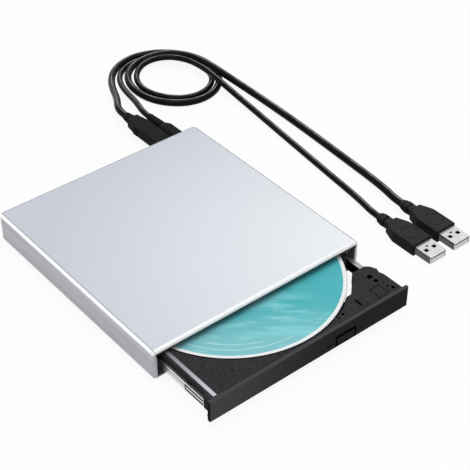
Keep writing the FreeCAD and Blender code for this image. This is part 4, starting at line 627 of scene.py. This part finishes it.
def moulded_plastic(name, base, grain, rough=0.62, worn=0.10, sheen=0.03, painted_light=0.0, hollow=None, grit=0.0):
    """Spark-eroded moulding: fine grain, rubbed edges; painted light makes front faces paler towards the
    left and top faces paler, painted shade darkens faces turned left and makes it black in its hollow.
    """
    f = Finish(name)
    pits = f.cells(1.0 / grain)
    speck = f.noise(1.4 / grain)
    x, y, z = f.parts()
    right, back, up = f.facing()
    edge = f.soft_edge(0.30)
    f.waver(f.span(speck, 0.36, 0.68) * 0.8 + f.noise(35.0, 3.0) * 0.2, base, 0.70, 0.022 + grit)
    # Painted light and shade, by the way each face is turned.
    f.cover(f.past(x, 18.0, -66.0) * f.span(back, -0.5, -0.8) * painted_light, paler(base, 0.080))
    f.cover(f.span(right, -0.5, -0.8) * painted_light, deeper(base, 0.7))
    f.cover(f.span(up, 0.6, 0.9) * painted_light, paler(base, 0.052))
    f.cover(edge * worn * 3.0, paler(base, worn))
    # Painted shade where the hollow lies in shadow.
    if hollow:
        f.cover(hollow(f, x, y, z), (0.001, 0.001, 0.001))
    f.bump(pits * 0.7 + speck * 0.3, 0.28, 0.10)
    return f.close(rough + speck * 0.16 - edge * 0.14, specular_ior_level=sheen)


def recess_painted_shade(f, x, y, z):
    """Painted shade: a ring in the tray just outside the disc, and the depths of the holes on the right."""
    radius = f.radius(x - DISC_CENTRE[0] * MM, y - DISC_CENTRE[1] * MM)
    ring = f.between(radius, DISC_RADIUS - 1.0, DISC_RADIUS + 1.4, 0.3)
    pits = f.past(radius, DISC_RADIUS + 2.2, DISC_RADIUS + 2.5) * f.past(z, TRAY_TOP - 0.15, TRAY_TOP - 0.30)
    pits = pits * f.between(x, 15.0, 66.0) * f.past(y, BEZEL_FRONT + 5.0, BEZEL_FRONT + 5.5)
    return f.most(ring, pits)


def button_painted_shade(f, x, y, z):
    """Painted shade: a band just inside the edges of the button."""
    left, right, low, high = 14.25, 27.95, 3.95, 10.45
    whole = f.between(x, left, right) * f.between(z, low, high)
    face = f.between(x, left + 1.1, right - 1.5) * f.between(z, low + 0.9, high - 1.5)
    return whole * (1.0 - face) * f.past(y, BEZEL_FRONT + 0.6, BEZEL_FRONT + 0.3)


def soft_rubber(name, base, rough=0.72, sheen=0.08, bloom_and_painted_light=1.0):
    """Rubber with a powdery bloom, which lies mostly on the faces turned upwards; that paler tone is partly
    bloom and partly painted light.
    """
    f = Finish(name)
    bloom = f.noise(240.0, 4.0)
    speck = f.noise(3600.0)
    upward = f.span(f.facing()[2], 0.3, 0.85)
    edge = f.soft_edge(0.30)
    f.waver(bloom * 0.6 + speck * 0.4, base, 0.5, 0.004)
    # Partly bloom, partly painted light: faces turned upwards are paler.
    f.cover(upward * (0.45 + bloom * 0.45) * bloom_and_painted_light, paler(base, 0.034))
    f.cover(edge * 0.30, paler(base, 0.06))
    f.bump(speck * 0.6 + bloom * 0.4, 0.16, 0.08)
    return f.close(rough + bloom * 0.12, specular_ior_level=sheen)


def lead_sheath(settings):
    """Glossy sheath, with faint waves where the cores lie under it and a broken painted highlight along its
    top.
    """
    f = Finish("lead_sheath")
    base = settings.sheath
    wave = f.noise(130.0)
    scuff = f.noise(2100.0, 3.0)
    painted_glint = f.span(f.facing()[2], 0.968, 0.998)
    f.waver(wave * 0.7 + scuff * 0.3, base, 0.2, 0.003)
    # Painted highlight: a broken pale line along the top of the sheath.
    f.cover(painted_glint * f.span(wave, 0.30, 0.60, 0.35, 1.0), paler(base, 0.26))
    f.bump(wave * 0.9 + scuff * 0.1, 0.05, 0.08)
    return f.close(0.15 + scuff * 0.05 + wave * 0.04, specular_ior_level=0.07)


def plated_shell(name, base, flank=0.0):
    """Nickel plate over folded sheet, with light handling marks and flanks darkened by a share as painted
    shade.
    """
    f = Finish(name)
    marks = f.streaks(1500.0, 3.0, 0.05)
    haze = f.noise(160.0, 3.0)
    right, back = f.facing()[:2]
    side = abs(right)
    edge = f.soft_edge(0.50 if flank else 0.30)
    f.waver(haze * 0.45 + marks * 0.45, base, 0.22, 0.4)
    # Painted shade: flanks darker, a darker line where they turn, and, where flanks are shaded, darker
    # rounded edges.
    f.cover(f.span(side, 0.35, 0.9) * flank, deeper(base, 0.95))
    if flank:
        f.cover(f.span(side, 0.25, 0.30) * f.span(side, 0.93, 0.88), deeper(base, 0.98))
    f.cover(edge * 0.8, deeper(base, 0.92) if flank else (0.97, 0.97, 0.96))
    # The cut edge round the mouth of a USB plug is bright.
    cut = f.span(abs(back), 0.8, 0.95) * f.past(f.parts()[1], USB_MOUTH + 0.4, USB_MOUTH + 0.1)
    f.cover(cut, (0.99, 0.99, 0.99))
    f.bump(marks * 0.5 + haze * 0.5, 0.05, 0.04)
    return f.close(0.24 + haze * 0.14, 0.92)


def smooth_moulding(name, base, radius, down, up):
    """Begins a smooth moulding, and gives its finish and its flow marks."""
    f = Finish(name)
    flow = f.streaks(150.0, 3.0, 0.4)
    speck = f.noise(2600.0)
    f.soft_edge(radius)
    f.waver(flow * 0.6 + speck * 0.3, base, down, up)
    f.bump(flow * 0.5 + speck * 0.5, 0.08, 0.06)
    return f, flow


def usb_tongue(base):
    """Pale tongue that is seen at the mouth; deeper in the shell and on faces turned up it is black, which
    is painted shade.
    """
    f, flow = smooth_moulding("tongue_moulding", base, 0.20, 0.08, 0.3)
    deep = f.past(f.parts()[1], USB_MOUTH + 0.5, USB_MOUTH + 1.5)
    # Painted shade: black deeper in the shell and on faces turned up.
    f.cover(f.most(deep, f.span(f.facing()[2], 0.5, 0.8)), (0.010, 0.010, 0.011))
    return f.close(0.42 + flow * 0.14, specular_ior_level=0.5)


def plain_moulding(name, base, rough=0.45):
    """Smooth moulded part with slight shade changes and rubbed edges."""
    f, flow = smooth_moulding(name, base, 0.25, 0.10, 0.06)
    f.cover(f.edge * 0.3, paler(base, 0.25))
    return f.close(rough + flow * 0.14, specular_ior_level=0.4)


def lacquered_board():
    """Green solder mask over copper tracks, with tinned pads."""
    f = Finish("lacquered_board")
    pads = f.cells(620.0)
    tin = f.span(pads, 0.16, 0.10) * f.span(f.noise(190.0, 1.0), 0.52, 0.56)
    cloud = f.noise(80.0)
    f.colour = f.node("ShaderNodeTexBrick", {
        "Vector": f.place(), "Scale": 260.0, "Mortar Size": 0.06, "Brick Width": 1.7, "Row Height": 0.34,
        "Color1": (0.02, 0.13, 0.07), "Color2": (0.03, 0.19, 0.10), "Mortar": (0.05, 0.27, 0.13)})
    f.cover(cloud * 0.3, (0.03, 0.20, 0.10))
    f.cover(tin, (0.72, 0.70, 0.64))
    f.bump(pads * 0.2 + tin, 0.25, 0.08)
    return f.close(0.38 + cloud * 0.15 - tin * 0.1, tin * 0.9, coat_weight=0.3, coat_roughness=0.2)


def chip_epoxy():
    """Matt epoxy of the chips, a little paler along its edges."""
    f = Finish("chip_epoxy")
    speck = f.noise(5200.0)
    cloud = f.noise(320.0)
    edge = f.soft_edge(0.12)
    f.colour = f.mix(speck * 0.4 + cloud * 0.4, (0.014, 0.014, 0.015), (0.034, 0.034, 0.036))
    f.cover(edge * 0.4, (0.10, 0.10, 0.10))
    f.bump(speck, 0.12, 0.04)
    return f.close(0.55 + cloud * 0.15, specular_ior_level=0.3)


def film_ribbon():
    """Amber film over flat conductors that run along it."""
    f = Finish("film_ribbon")
    lanes = f.bands(f.place(), 112.0)
    copper = f.span(lanes, 0.45, 0.62)
    cloud = f.noise(120.0)
    f.colour = f.mix(copper, (0.36, 0.17, 0.05), (0.62, 0.33, 0.12))
    f.cover(cloud * 0.3, (0.50, 0.27, 0.10))
    f.bump(lanes, 0.2, 0.06)
    return f.close(0.30 + cloud * 0.12, copper * 0.25, coat_weight=0.4, coat_roughness=0.15)


def enamelled_wire():
    """Copper wire under clear enamel."""
    f = Finish("enamelled_wire")
    layer = f.noise(900.0, 3.0)
    f.colour = f.mix(layer, (0.48, 0.17, 0.06), (0.86, 0.42, 0.20))
    f.bump(layer, 0.1, 0.04)
    return f.close(0.26 + layer * 0.16, 0.9, coat_weight=0.3)


def plated_gold():
    """Thin gold over nickel on the contacts, with painted shade that darkens them deeper in the shell."""
    f = Finish("plated_gold")
    wipe = f.streaks(4200.0, 2.0, 0.05)
    f.colour = f.mix(wipe, (0.78, 0.50, 0.16), (0.95, 0.74, 0.36))
    # Painted shade: the contacts are darker deeper in the shell.
    f.cover(f.past(f.parts()[1], USB_MOUTH + 2.8, USB_MOUTH + 3.8), (0.020, 0.014, 0.008))
    f.bump(wipe, 0.06, 0.02)
    return f.close(0.22 + wipe * 0.14, 1.0)


def ground_lens():
    """Coated glass of the objective."""
    f = Finish("ground_lens")
    coating = f.node("ShaderNodeLayerWeight", {"Blend": 0.45}, output="Facing")
    ring = f.noise(500.0)
    f.colour = f.mix(coating, (0.20, 0.24, 0.52), (0.44, 0.34, 0.62))
    f.bump(ring, 0.02, 0.02)
    return f.close(0.05 + ring * 0.05, 0.1, coat_weight=0.9, transmission_weight=0.35, ior=1.55)


def clear_light():
    """Frosted light pipe with the unlit lamp behind it."""
    f = Finish("light_pipe_frost")
    frost = f.noise(2800.0, 3.0)
    depth = f.past(f.parts()[1], BEZEL_FRONT, BEZEL_FRONT + 4.0)
    f.colour = f.mix(depth, (0.001, 0.0015, 0.0012), (0.06, 0.10, 0.07))
    f.cover(frost * 0.03, (0.05, 0.06, 0.05))
    f.bump(frost, 0.12, 0.05)
    return f.close(0.45 + frost * 0.2, specular_ior_level=0.002)


def printed_disc(settings):
    """Screen-printed face inside a white rim, clear plastic at the hub, mirror below."""
    f = Finish("printed_disc")
    ink, pale = settings.ink, settings.pale_ink
    x, y, z = f.parts(f.place(shift=(-DISC_CENTRE[0] * MM, -DISC_CENTRE[1] * MM, 0.0)))
    radius = f.radius(x, y)
    angle = f.maths("ARCTAN2", y, x)
    # Soft streaks drift across the print, thicker towards its middle.
    flow = f.vector(x * FLOW_COSINE - y * FLOW_SINE, (x * FLOW_SINE + y * FLOW_COSINE) * FLOW_STRETCH, z)
    drift = f.noise(30.0, 3.0, vector=flow)
    fine = f.noise(75.0, 3.0, 0.55, flow)
    broad = f.noise(17.0, vector=f.place(turn=(0, 0, 0.4)))
    zone = f.past(x, 30.0, 4.0) * f.past(y, -14.0, -30.0)
    f.colour = f.mix(f.past(x * 0.7 + y, -66.0, -22.0), paler(ink, 0.16), deeper(ink, 0.05))
    f.cover(broad * 0.12, pale)
    f.cover(f.span(drift, 0.46, 0.62) * zone * 0.60, pale)
    f.cover(f.span(fine, 0.54, 0.68) * zone * 0.38, paler(pale, 0.20))
    # Two thin arcs follow the rim over part of the turn.
    for inner, start, stop in ((53.5, -2.75, -1.55), (50.0, -2.60, -1.85)):
        line = f.between(radius, inner, inner + 0.4, 0.2)
        length = f.span(angle, start, start + 0.15) * f.span(angle, stop, stop - 0.15)
        f.cover(line * length * 0.55, paler(pale, 0.45))
    # Outside the print lie the white band and the bevelled lip, inside it the ring and the clear hub.
    outer, hub = DISC_RADIUS - settings.rim / MM, settings.hub / MM
    white = f.past(radius, outer - 0.15, outer + 0.15)
    clear = f.past(radius, hub, hub - 0.2)
    stack = f.between(radius, 16.8, 17.3, 0.3)
    f.cover(white, (0.92, 0.94, 0.95))
    f.cover(f.past(radius, DISC_RADIUS - 0.65, DISC_RADIUS - 0.35), (0.70, 0.75, 0.77))
    f.cover(f.past(radius, hub + 2.6, hub + 2.3), (0.84, 0.87, 0.88))
    f.cover(clear, (0.62, 0.66, 0.68))
    f.cover(clear * stack, (0.90, 0.92, 0.93))
    # Below the print the disc shows its mirror with the fine shimmer of the track.
    below = f.past(z, DISC_TOP - 0.25, DISC_TOP - 0.35)
    shimmer = f.bands(f.vector(angle, radius * 2.0), 1.1, 1.5)
    f.cover(below, f.node("ShaderNodeValToRGB", {0: shimmer}, {"stops": [
        (0.0, (0.55, 0.62, 0.70)), (0.35, (0.60, 0.56, 0.72)), (0.6, (0.72, 0.60, 0.58)),
        (0.8, (0.62, 0.70, 0.56)), (1.0, (0.56, 0.66, 0.70))]}))
    speck = f.noise(3000.0)
    f.bump(speck * 0.3 + drift * 0.2 + stack, 0.06, 0.05)
    rough = 0.36 + speck * 0.10 - clear * 0.2 - below * 0.22 + white * 0.05
    return f.close(rough, below * (1.0 - clear) * 0.9, specular_ior_level=0.16)


def dress(material, *names):
    """Gives carried-over nodes their finish."""
    for name in names:
        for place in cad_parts[name].material_slots:
            place.material = material


def make_lead(name, points, diameter, material):
    """A lead along its control points, which are in millimetres."""
    curve = bpy.data.curves.new(name, "CURVE")
    curve.dimensions = "3D"
    curve.resolution_u = 8
    curve.bevel_depth = diameter / 2
    curve.bevel_resolution = 5
    curve.use_fill_caps = True
    line = curve.splines.new("NURBS")
    line.points.add(len(points) - 1)
    for spot, point in zip(line.points, points):
        spot.co = (*(c * MM for c in point), 1.0)
    line.order_u = 3
    line.use_endpoint_u = True
    line.use_smooth = True
    curve.materials.append(material)
    lead = put(name, curve)
    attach(lead, "case")
    return lead


class DISCWRITER_OT_leads(bpy.types.Operator):
    """Lay the two leads in their loop behind the drive"""
    bl_idname = "disc_writer.leads"
    bl_label = "Leads"

    def execute(self, context):
        sizes = context.scene.disc_writer_leads
        sheath = lead_sheath(sizes)
        for kind, points, diameter, length in (
                ("data", DATA_LEAD, sizes.data_diameter, 0.5046),
                ("power", POWER_LEAD, sizes.power_diameter, 0.4631)):
            lead = make_lead(f"{kind}_lead", points, diameter, sheath)
            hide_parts(f"{kind}_cord")
        return {"FINISHED"}


class DISCWRITER_OT_case(bpy.types.Operator):
    """Finish the lid, the lower case and its feet"""
    bl_idname = "disc_writer.case"
    bl_label = "Case"

    def execute(self, context):
        dress(brushed_shell(context.scene.disc_writer_case), "top_panel", "bottom_shell")
        dress(soft_rubber("foot_rubber", (0.018, 0.018, 0.019)), "rubber_feet")
        return {"FINISHED"}


class DISCWRITER_OT_drive(bpy.types.Operator):
    """Finish the drive's sheet steel, guides and rails"""
    bl_idname = "disc_writer.drive"
    bl_label = "Drive chassis and rails"

    def execute(self, context):
        steel = context.scene.disc_writer_steel
        dress(pressed_steel("plated_sheet", (0.46, 0.45, 0.48), 0.34, 0.85),
              "drive_base_pan", "drive_top_cover", "tray_bottom_cover")
        dress(rail_steel(steel), "left_rail", "right_rail")
        dress(drawn_steel("rod_steel", (0.66, 0.66, 0.68), 0.22, "y"), "latch_pin", "guide_rods")
        dress(strip_steel(steel), "tray_side_strip")
        dress(plain_moulding("guide_moulding", (0.16, 0.16, 0.17)), "left_guide", "right_guide")
        dress(pressed_steel("motor_can", (0.60, 0.60, 0.60), 0.28, 0.9, 0.08), "sled_motor")
        dress(pressed_steel("cast_frame", (0.42, 0.42, 0.44), 0.46, 0.7, 0.10),
              "traverse_frame", "motor_base")
        return {"FINISHED"}


class DISCWRITER_OT_tray(bpy.types.Operator):
    """Finish the tray, bezel, button and the small parts they carry"""
    bl_idname = "disc_writer.tray"
    bl_label = "Tray and bezel"

    def execute(self, context):
        settings = context.scene.disc_writer_tray
        dress(moulded_plastic("tray_moulding", settings.tray, settings.grain, sheen=0.008,
                              hollow=recess_painted_shade, grit=0.018), "tray")
        dress(moulded_plastic("bezel_moulding", settings.bezel, settings.grain * 0.8, rough=0.52,
                              worn=0.14, sheen=0.006, painted_light=0.75, hollow=button_painted_shade),
              "bezel", "eject_button")
        dress(clear_light(), "light_pipe")
        dress(soft_rubber("damper_rubber", (0.030, 0.028, 0.030)), "dampers")
        dress(plain_moulding("white_moulding", (0.74, 0.74, 0.72)), "latch_lever", "spindle_rotor")
        dress(soft_rubber("pad_rubber", (0.040, 0.040, 0.042), 0.8), "turntable_pad")
        dress(plain_moulding("claw_moulding", (0.05, 0.05, 0.055)),
              "clamp_claw_1", "clamp_claw_2", "clamp_claw_3")
        dress(moulded_plastic("sled_moulding", (0.045, 0.045, 0.048), 0.0004, 0.5), "pickup_sled")
        dress(ground_lens(), "objective_lens")
        return {"FINISHED"}


def cross_screw(name, material, head, rise, shank, depth, recess):
    """Head with a cross recess over a plain shank, head upwards from its underside at zero."""
    r = Recipe(name, Head_radius=head, Head_height=rise, Shank_radius=shank, Shank_length=depth,
               Recess=recess)
    head, rise, shank, depth, recess = r.inputs
    reach, slit, overlap = 1.25, 0.24, 0.00001
    arms = []
    for long, wide in ((reach, reach * slit), (reach * slit, reach)):
        arm = r.node("GeometryNodeMeshCube", {"Size": r.vector(head * long, head * wide, recess * 2.0)})
        arms.append(r.moved(arm, r.vector(z=rise)))
    top = r.cylinder(32, head, rise, rise * 0.5)
    top = r.node("GeometryNodeMeshBoolean", {"Mesh 1": top, "Mesh 2": arms},
                 {"operation": "DIFFERENCE", "solver": "EXACT"})
    stem = r.cylinder(20, shank, depth, depth * -0.5 + overlap)
    return r.end(r.copies(r.joined(top, stem), r.vector(x=r.turn())), material)


class DISCWRITER_OT_screws(bpy.types.Operator):
    """Put cross-headed screws in the case, the drive cover and the dampers"""
    bl_idname = "disc_writer.screws"
    bl_label = "Screws"

    def execute(self, context):
        recess = context.scene.disc_writer_mechanism.recess
        steel = drawn_steel("screw_steel", (0.60, 0.60, 0.61), 0.30, "z")
        # Each kind's body, head radius, head height, shank radius, and whether its head points down.
        for node, body, head, rise, shank, from_below in (
                ("case_screws", "case", 0.0018, 0.0008, 0.0009, True),
                ("cover_screws", "case", 0.0013, 0.00025, 0.0005, False),
                ("damper_screws", "tray", 0.0018, 0.0005, 0.0009, True)):
            groups = {}
            for low, high in islands(node):
                middle = (low + high) / 2
                seat = low.z + rise if from_below else high.z - rise
                depth = round(high.z - low.z - rise, 6)
                groups.setdefault(depth, []).append((middle.x, middle.y, seat))
            for number, (depth, spots) in enumerate(sorted(groups.items())):
                recipe = cross_screw(f"{node}_recipe_{number}", steel, head, rise, shank,
                                     depth if depth > 0.0 else 0.00002, min(recess, rise * 0.8))
                piece = grow(recipe, f"{node}_made_{number}", body, spots,
                             [math.pi if from_below else 0.0] * len(spots))
                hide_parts(node)
        return {"FINISHED"}


def spiral_screw(material, length, pitch, ridge, start, outwards):
    """Lead screw: a core and one helical ridge, laid along the traverse."""
    r = Recipe("lead_thread_recipe", Length=length, Pitch=pitch, Ridge=ridge, Core_radius=ridge * 0.80)
    length, pitch, ridge, core = r.inputs
    wire = ridge * 0.20
    # The ridge stops short of both ends of the core by the same share of its length.
    bare = 0.03
    helix = r.spiral(22, length / pitch, ridge - wire, length * (1.0 - 2.0 * bare))
    thread = r.moved(r.tube(helix, r.circle(8, wire)), r.vector(z=length * bare))
    both = r.joined(thread, r.cylinder(28, core, length, length * 0.5))
    return r.end(r.moved(both, start, (0.0, math.pi / 2, outwards)), material)


def pole_windings(material, turns, poles, reach, rise, tooth, centre):
    """Enamelled wire wound round each tooth of the disc motor."""
    r = Recipe("pole_winding_recipe", Turns=turns, Poles=poles, Reach=reach, Rise=rise, Tooth=tooth,
               Wire=0.00016)
    turns, count, reach, rise, tooth, wire = r.inputs
    inner = 0.0054
    # The round helix is pressed to the tooth's width and height, then laid along its radius.
    helix = r.moved(r.spiral(16, turns, 1.0, reach), scale=r.vector(rise, tooth, 1.0))
    coil = r.tube(r.moved(helix, (inner, 0, 0), (0.0, math.pi / 2, 0.0)), r.circle(6, wire))
    around = r.node("GeometryNodeInputIndex") / count * math.tau + math.pi / poles
    ring = r.copies(coil, r.vector(z=around), r.node("GeometryNodePoints", {"Count": count}))
    return r.end(r.moved(ring, centre), material)


def chip_legs(material):
    """Bent legs of the chips, one on each place, turned to face away from the body."""
    r = Recipe("chip_leg_recipe", Reach=0.0007, Rise=0.0005, Width=0.00024, Thickness=0.0001)
    reach, rise, width, thickness = r.inputs
    knee, tip = r.vector(x=reach * 0.9, z=rise), r.vector(x=reach, z=thickness * 0.5)
    leg = r.tube(r.bend(5, r.vector(z=rise), knee, tip), r.bar(thickness, width))
    return r.end(r.copies(leg, r.vector(z=r.turn())), material)


class DISCWRITER_OT_mechanism(bpy.types.Operator):
    """Cut the lead screw's thread, wind the motor's poles and set the chips' legs"""
    bl_idname = "disc_writer.mechanism"
    bl_label = "Thread, windings and chip legs"

    def execute(self, context):
        sizes = context.scene.disc_writer_mechanism
        self.cut_thread(sizes)
        self.wind_poles(sizes)
        self.set_legs(sizes)
        return {"FINISHED"}

    def cut_thread(self, sizes):
        low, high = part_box("lead_screw")
        radius = (high.z - low.z) / 2
        # The bar leaves its upper right corner for its lower left one at the traverse's angle.
        slope = math.sqrt(0.5)
        start = (high.x - radius * slope, high.y - radius * slope, (low.z + high.z) / 2)
        length = (high.x - low.x - 2 * radius * slope) / slope
        steel = drawn_steel("screw_thread_steel", (0.70, 0.70, 0.71), 0.22, "z")
        recipe = spiral_screw(steel, length, sizes.thread_pitch, radius, start, math.radians(225))
        thread = grow(recipe, "lead_screw_thread", "lead_screw")
        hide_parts("lead_screw")

    def wind_poles(self, sizes):
        core, clearance, tooth = 0.0075, 0.0003, 0.0018
        low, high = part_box("stator")
        reach = (high.x - low.x) / 2 - core
        rise = (high.z - low.z) / 2 + clearance
        recipe = pole_windings(enamelled_wire(), sizes.coil_turns, sizes.coils, reach, rise, tooth,
                               tuple((low + high) / 2))
        wound = grow(recipe, "stator_windings", "tray")

    def set_legs(self, sizes):
        tin = drawn_steel("tinned_legs", (0.72, 0.72, 0.72), 0.3, "z")
        tallest, margin = 0.0014, 0.0008
        for node in ("main_board_chips", "bridge_chips"):
            spots, turns = [], []
            for low, high in islands(node):
                if high.z - low.z > tallest:
                    continue
                for side, turn in ((low.y, -math.pi / 2), (high.y, math.pi / 2)):
                    count = int((high.x - low.x - margin) / sizes.leg_pitch)
                    for i in range(count + 1):
                        at = (low.x + high.x) / 2 + (i - count / 2) * sizes.leg_pitch
                        spots.append((at, side, low.z))
                        turns.append(turn)
            legs = grow(chip_legs(tin), f"{node}_legs", "case", spots, turns)


class DISCWRITER_OT_disc(bpy.types.Operator):
    """Print the disc"""
    bl_idname = "disc_writer.disc"
    bl_label = "Disc"

    def execute(self, context):
        dress(printed_disc(context.scene.disc_writer_disc), "disc")
        return {"FINISHED"}


class DISCWRITER_OT_electronics(bpy.types.Operator):
    """Finish the boards, chips, sockets, ribbon and coils"""
    bl_idname = "disc_writer.electronics"
    bl_label = "Boards and coils"

    def execute(self, context):
        dress(lacquered_board(), "main_board", "bridge_board", "tray_board")
        dress(chip_epoxy(), "main_board_chips", "bridge_chips", "eject_switch", "power_socket")
        dress(plain_moulding("connector_moulding", (0.66, 0.60, 0.46)), "drive_connector")
        dress(film_ribbon(), "ribbon_cable")
        dress(pressed_steel("stator_laminations", (0.40, 0.39, 0.38), 0.42, 0.8, 0.08), "stator")
        dress(enamelled_wire(), "latch_solenoid")
        dress(plated_shell("socket_plate", (0.72, 0.72, 0.71)), "data_socket")
        return {"FINISHED"}


def usb_contacts(material, width, length):
    """Gold strips that lie on a tongue and dip at its tip, one on each place."""
    r = Recipe("usb_contact_recipe", Width=width, Length=length, Thickness=0.00012)
    width, length, thickness = r.inputs
    flat = r.node("GeometryNodeCurvePrimitiveLine", {"Start": (0, 0, 0), "End": r.vector(y=length * 0.86)})
    dip = r.bend(6, r.vector(y=length * -0.07, z=thickness * -2.0), r.vector(y=length * -0.03), (0, 0, 0))
    profile = r.bar(width, thickness)
    return r.end(r.copies(r.joined(r.tube(dip, profile), r.tube(flat, profile))), material)


class DISCWRITER_OT_plugs(bpy.types.Operator):
    """Finish the plugs and lay the contacts in the two USB mouths"""
    bl_idname = "disc_writer.plugs"
    bl_label = "Plugs"

    def execute(self, context):
        sizes = context.scene.disc_writer_plugs
        grip = sizes.grip
        dress(soft_rubber("grip_moulding", grip, 0.62), "usb_data_grip", "usb_power_grip")
        dress(soft_rubber("plug_moulding", grip, 0.62, sheen=0.07, bloom_and_painted_light=0.25), "data_plug", "power_plug")
        dress(plated_shell("plug_nickel", (0.70, 0.70, 0.70), 0.92),
              "usb_data_shell", "usb_power_shell", "data_plug_tip", "power_plug_tip")
        dress(usb_tongue((0.96, 0.96, 0.955)), "usb_data_tongue", "usb_power_tongue")
        gold = plated_gold()
        pitch, length, tip, proud = 0.0024, 0.0086, 0.0014, 0.0001
        for kind in ("data", "power"):
            low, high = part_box(f"usb_{kind}_tongue")
            middle = (low.x + high.x) / 2
            spots = [(middle + (i - (sizes.contacts - 1) / 2) * pitch, low.y + tip, high.z + proud)
                     for i in range(sizes.contacts)]
            recipe = usb_contacts(gold, sizes.contact_width, length)
            strips = grow(recipe, f"usb_{kind}_contacts", "case", spots)
        return {"FINISHED"}


def studio_floor():
    """Pale floor that looks white to the camera and to gloss, and still takes the object's shadow."""
    f = Finish("studio_floor")
    seen = f.backdrop()
    pale = f.mix(f.noise(30.0) * 0.1, (0.95, 0.95, 0.95), (0.93, 0.93, 0.93))
    cloth = f.node("ShaderNodeBsdfDiffuse", {"Color": f.mix(seen, (0.55, 0.55, 0.56), pale)})
    white = f.node("ShaderNodeEmission", {"Color": WHITE, "Strength": 1.0})
    surface = f.node("ShaderNodeMixShader", {0: seen * 0.90, 1: cloth, 2: white})
    f.node("ShaderNodeOutputMaterial", {"Surface": surface})
    return f.material


def studio_air(ambient):
    """Even light from all round, in front of which the camera, gloss and glass see white."""
    world = bpy.data.worlds.new("studio_air")
    world.use_nodes = True
    air = Tree(world.node_tree)
    strength = air.node("ShaderNodeMix", {0: air.backdrop(), 2: ambient, 3: 1.0})
    glow = air.node("ShaderNodeBackground", {"Color": WHITE, "Strength": strength})
    air.node("ShaderNodeOutputWorld", {"Surface": glow})
    return world


def add_lamp(name, power, size, spot, aim, colour, roll):
    lamp = bpy.data.lights.new(name, "AREA")
    lamp.energy = power
    lamp.shape = "RECTANGLE"
    lamp.size, lamp.size_y = size
    lamp.color = colour
    holder = put(name, lamp)
    holder.location = spot
    holder.rotation_euler = (Vector(aim) - Vector(spot)).to_track_quat("-Z", "Y").to_euler()
    holder.rotation_euler.rotate_axis("Z", math.radians(roll))


def add_floor(half):
    """A flat floor under the object, which isn't part of it."""
    bm = bmesh.new()
    bmesh.ops.create_grid(bm, x_segments=8, y_segments=8, size=half)
    mesh = bpy.data.meshes.new("floor")
    bm.to_mesh(mesh)
    bm.free()
    mesh.materials.append(studio_floor())
    put("floor", mesh)


def add_camera(focal_length):
    lens = bpy.data.cameras.new("camera")
    lens.sensor_width = 36.0
    lens.lens = focal_length
    lens.clip_start = 0.02
    lens.clip_end = 20.0
    camera = put("camera", lens)
    camera.location = CAMERA_PLACE
    camera.rotation_euler = (math.radians(CAMERA_TILT), 0.0, math.radians(CAMERA_HEADING))
    bpy.context.scene.camera = camera


class DISCWRITER_OT_studio(bpy.types.Operator):
    """Set the floor, the soft lamps and the camera"""
    bl_idname = "disc_writer.studio"
    bl_label = "Studio"

    def execute(self, context):
        settings = context.scene.disc_writer_studio
        add_floor(settings.floor)
        for name, make in LAMPS.items():
            add_lamp(f"{name}_lamp", getattr(settings, name), *make)
        add_camera(settings.lens)
        context.scene.world = studio_air(settings.ambient)
        context.scene.view_settings.view_transform = "Standard"
        return {"FINISHED"}


SETTINGS = {
    "disc_writer_case": CaseFinish,
    "disc_writer_steel": SteelFinish,
    "disc_writer_tray": TrayFinish,
    "disc_writer_disc": DiscPrint,
    "disc_writer_leads": LeadSizes,
    "disc_writer_plugs": PlugSizes,
    "disc_writer_mechanism": MechanismSizes,
    "disc_writer_studio": StudioSettings,
}

# The order in which the pieces are made.
OPERATORS = (
    DISCWRITER_OT_studio, DISCWRITER_OT_leads, DISCWRITER_OT_case, DISCWRITER_OT_drive,
    DISCWRITER_OT_tray, DISCWRITER_OT_screws, DISCWRITER_OT_mechanism, DISCWRITER_OT_disc,
    DISCWRITER_OT_electronics, DISCWRITER_OT_plugs,
)


class DISCWRITER_PT_panel(bpy.types.Panel):
    """Lists the pieces of the disc writer and their sizes"""
    bl_label = "Disc writer"
    bl_idname = "DISCWRITER_PT_panel"
    bl_space_type = "VIEW_3D"
    bl_region_type = "UI"
    bl_category = "Disc writer"

    def draw(self, context):
        for name, group in SETTINGS.items():
            box = self.layout.box()
            box.label(text=group.__doc__)
            settings = getattr(context.scene, name)
            for field in group.__annotations__:
                box.prop(settings, field)
        for operator in OPERATORS:
            self.layout.operator(operator.bl_idname)


def register():
    for name, group in SETTINGS.items():
        bpy.utils.register_class(group)
        setattr(bpy.types.Scene, name, bpy.props.PointerProperty(type=group))
    for shown in (*OPERATORS, DISCWRITER_PT_panel):
        bpy.utils.register_class(shown)


def unregister():
    for shown in (DISCWRITER_PT_panel, *reversed(OPERATORS)):
        bpy.utils.unregister_class(shown)
    for name, group in reversed(SETTINGS.items()):
        delattr(bpy.types.Scene, name)
        bpy.utils.unregister_class(group)


def main():
    register()
    for operator in OPERATORS:
        getattr(bpy.ops.disc_writer, operator.bl_idname.split(".")[1])()


if __name__ == "__main__":
    main()
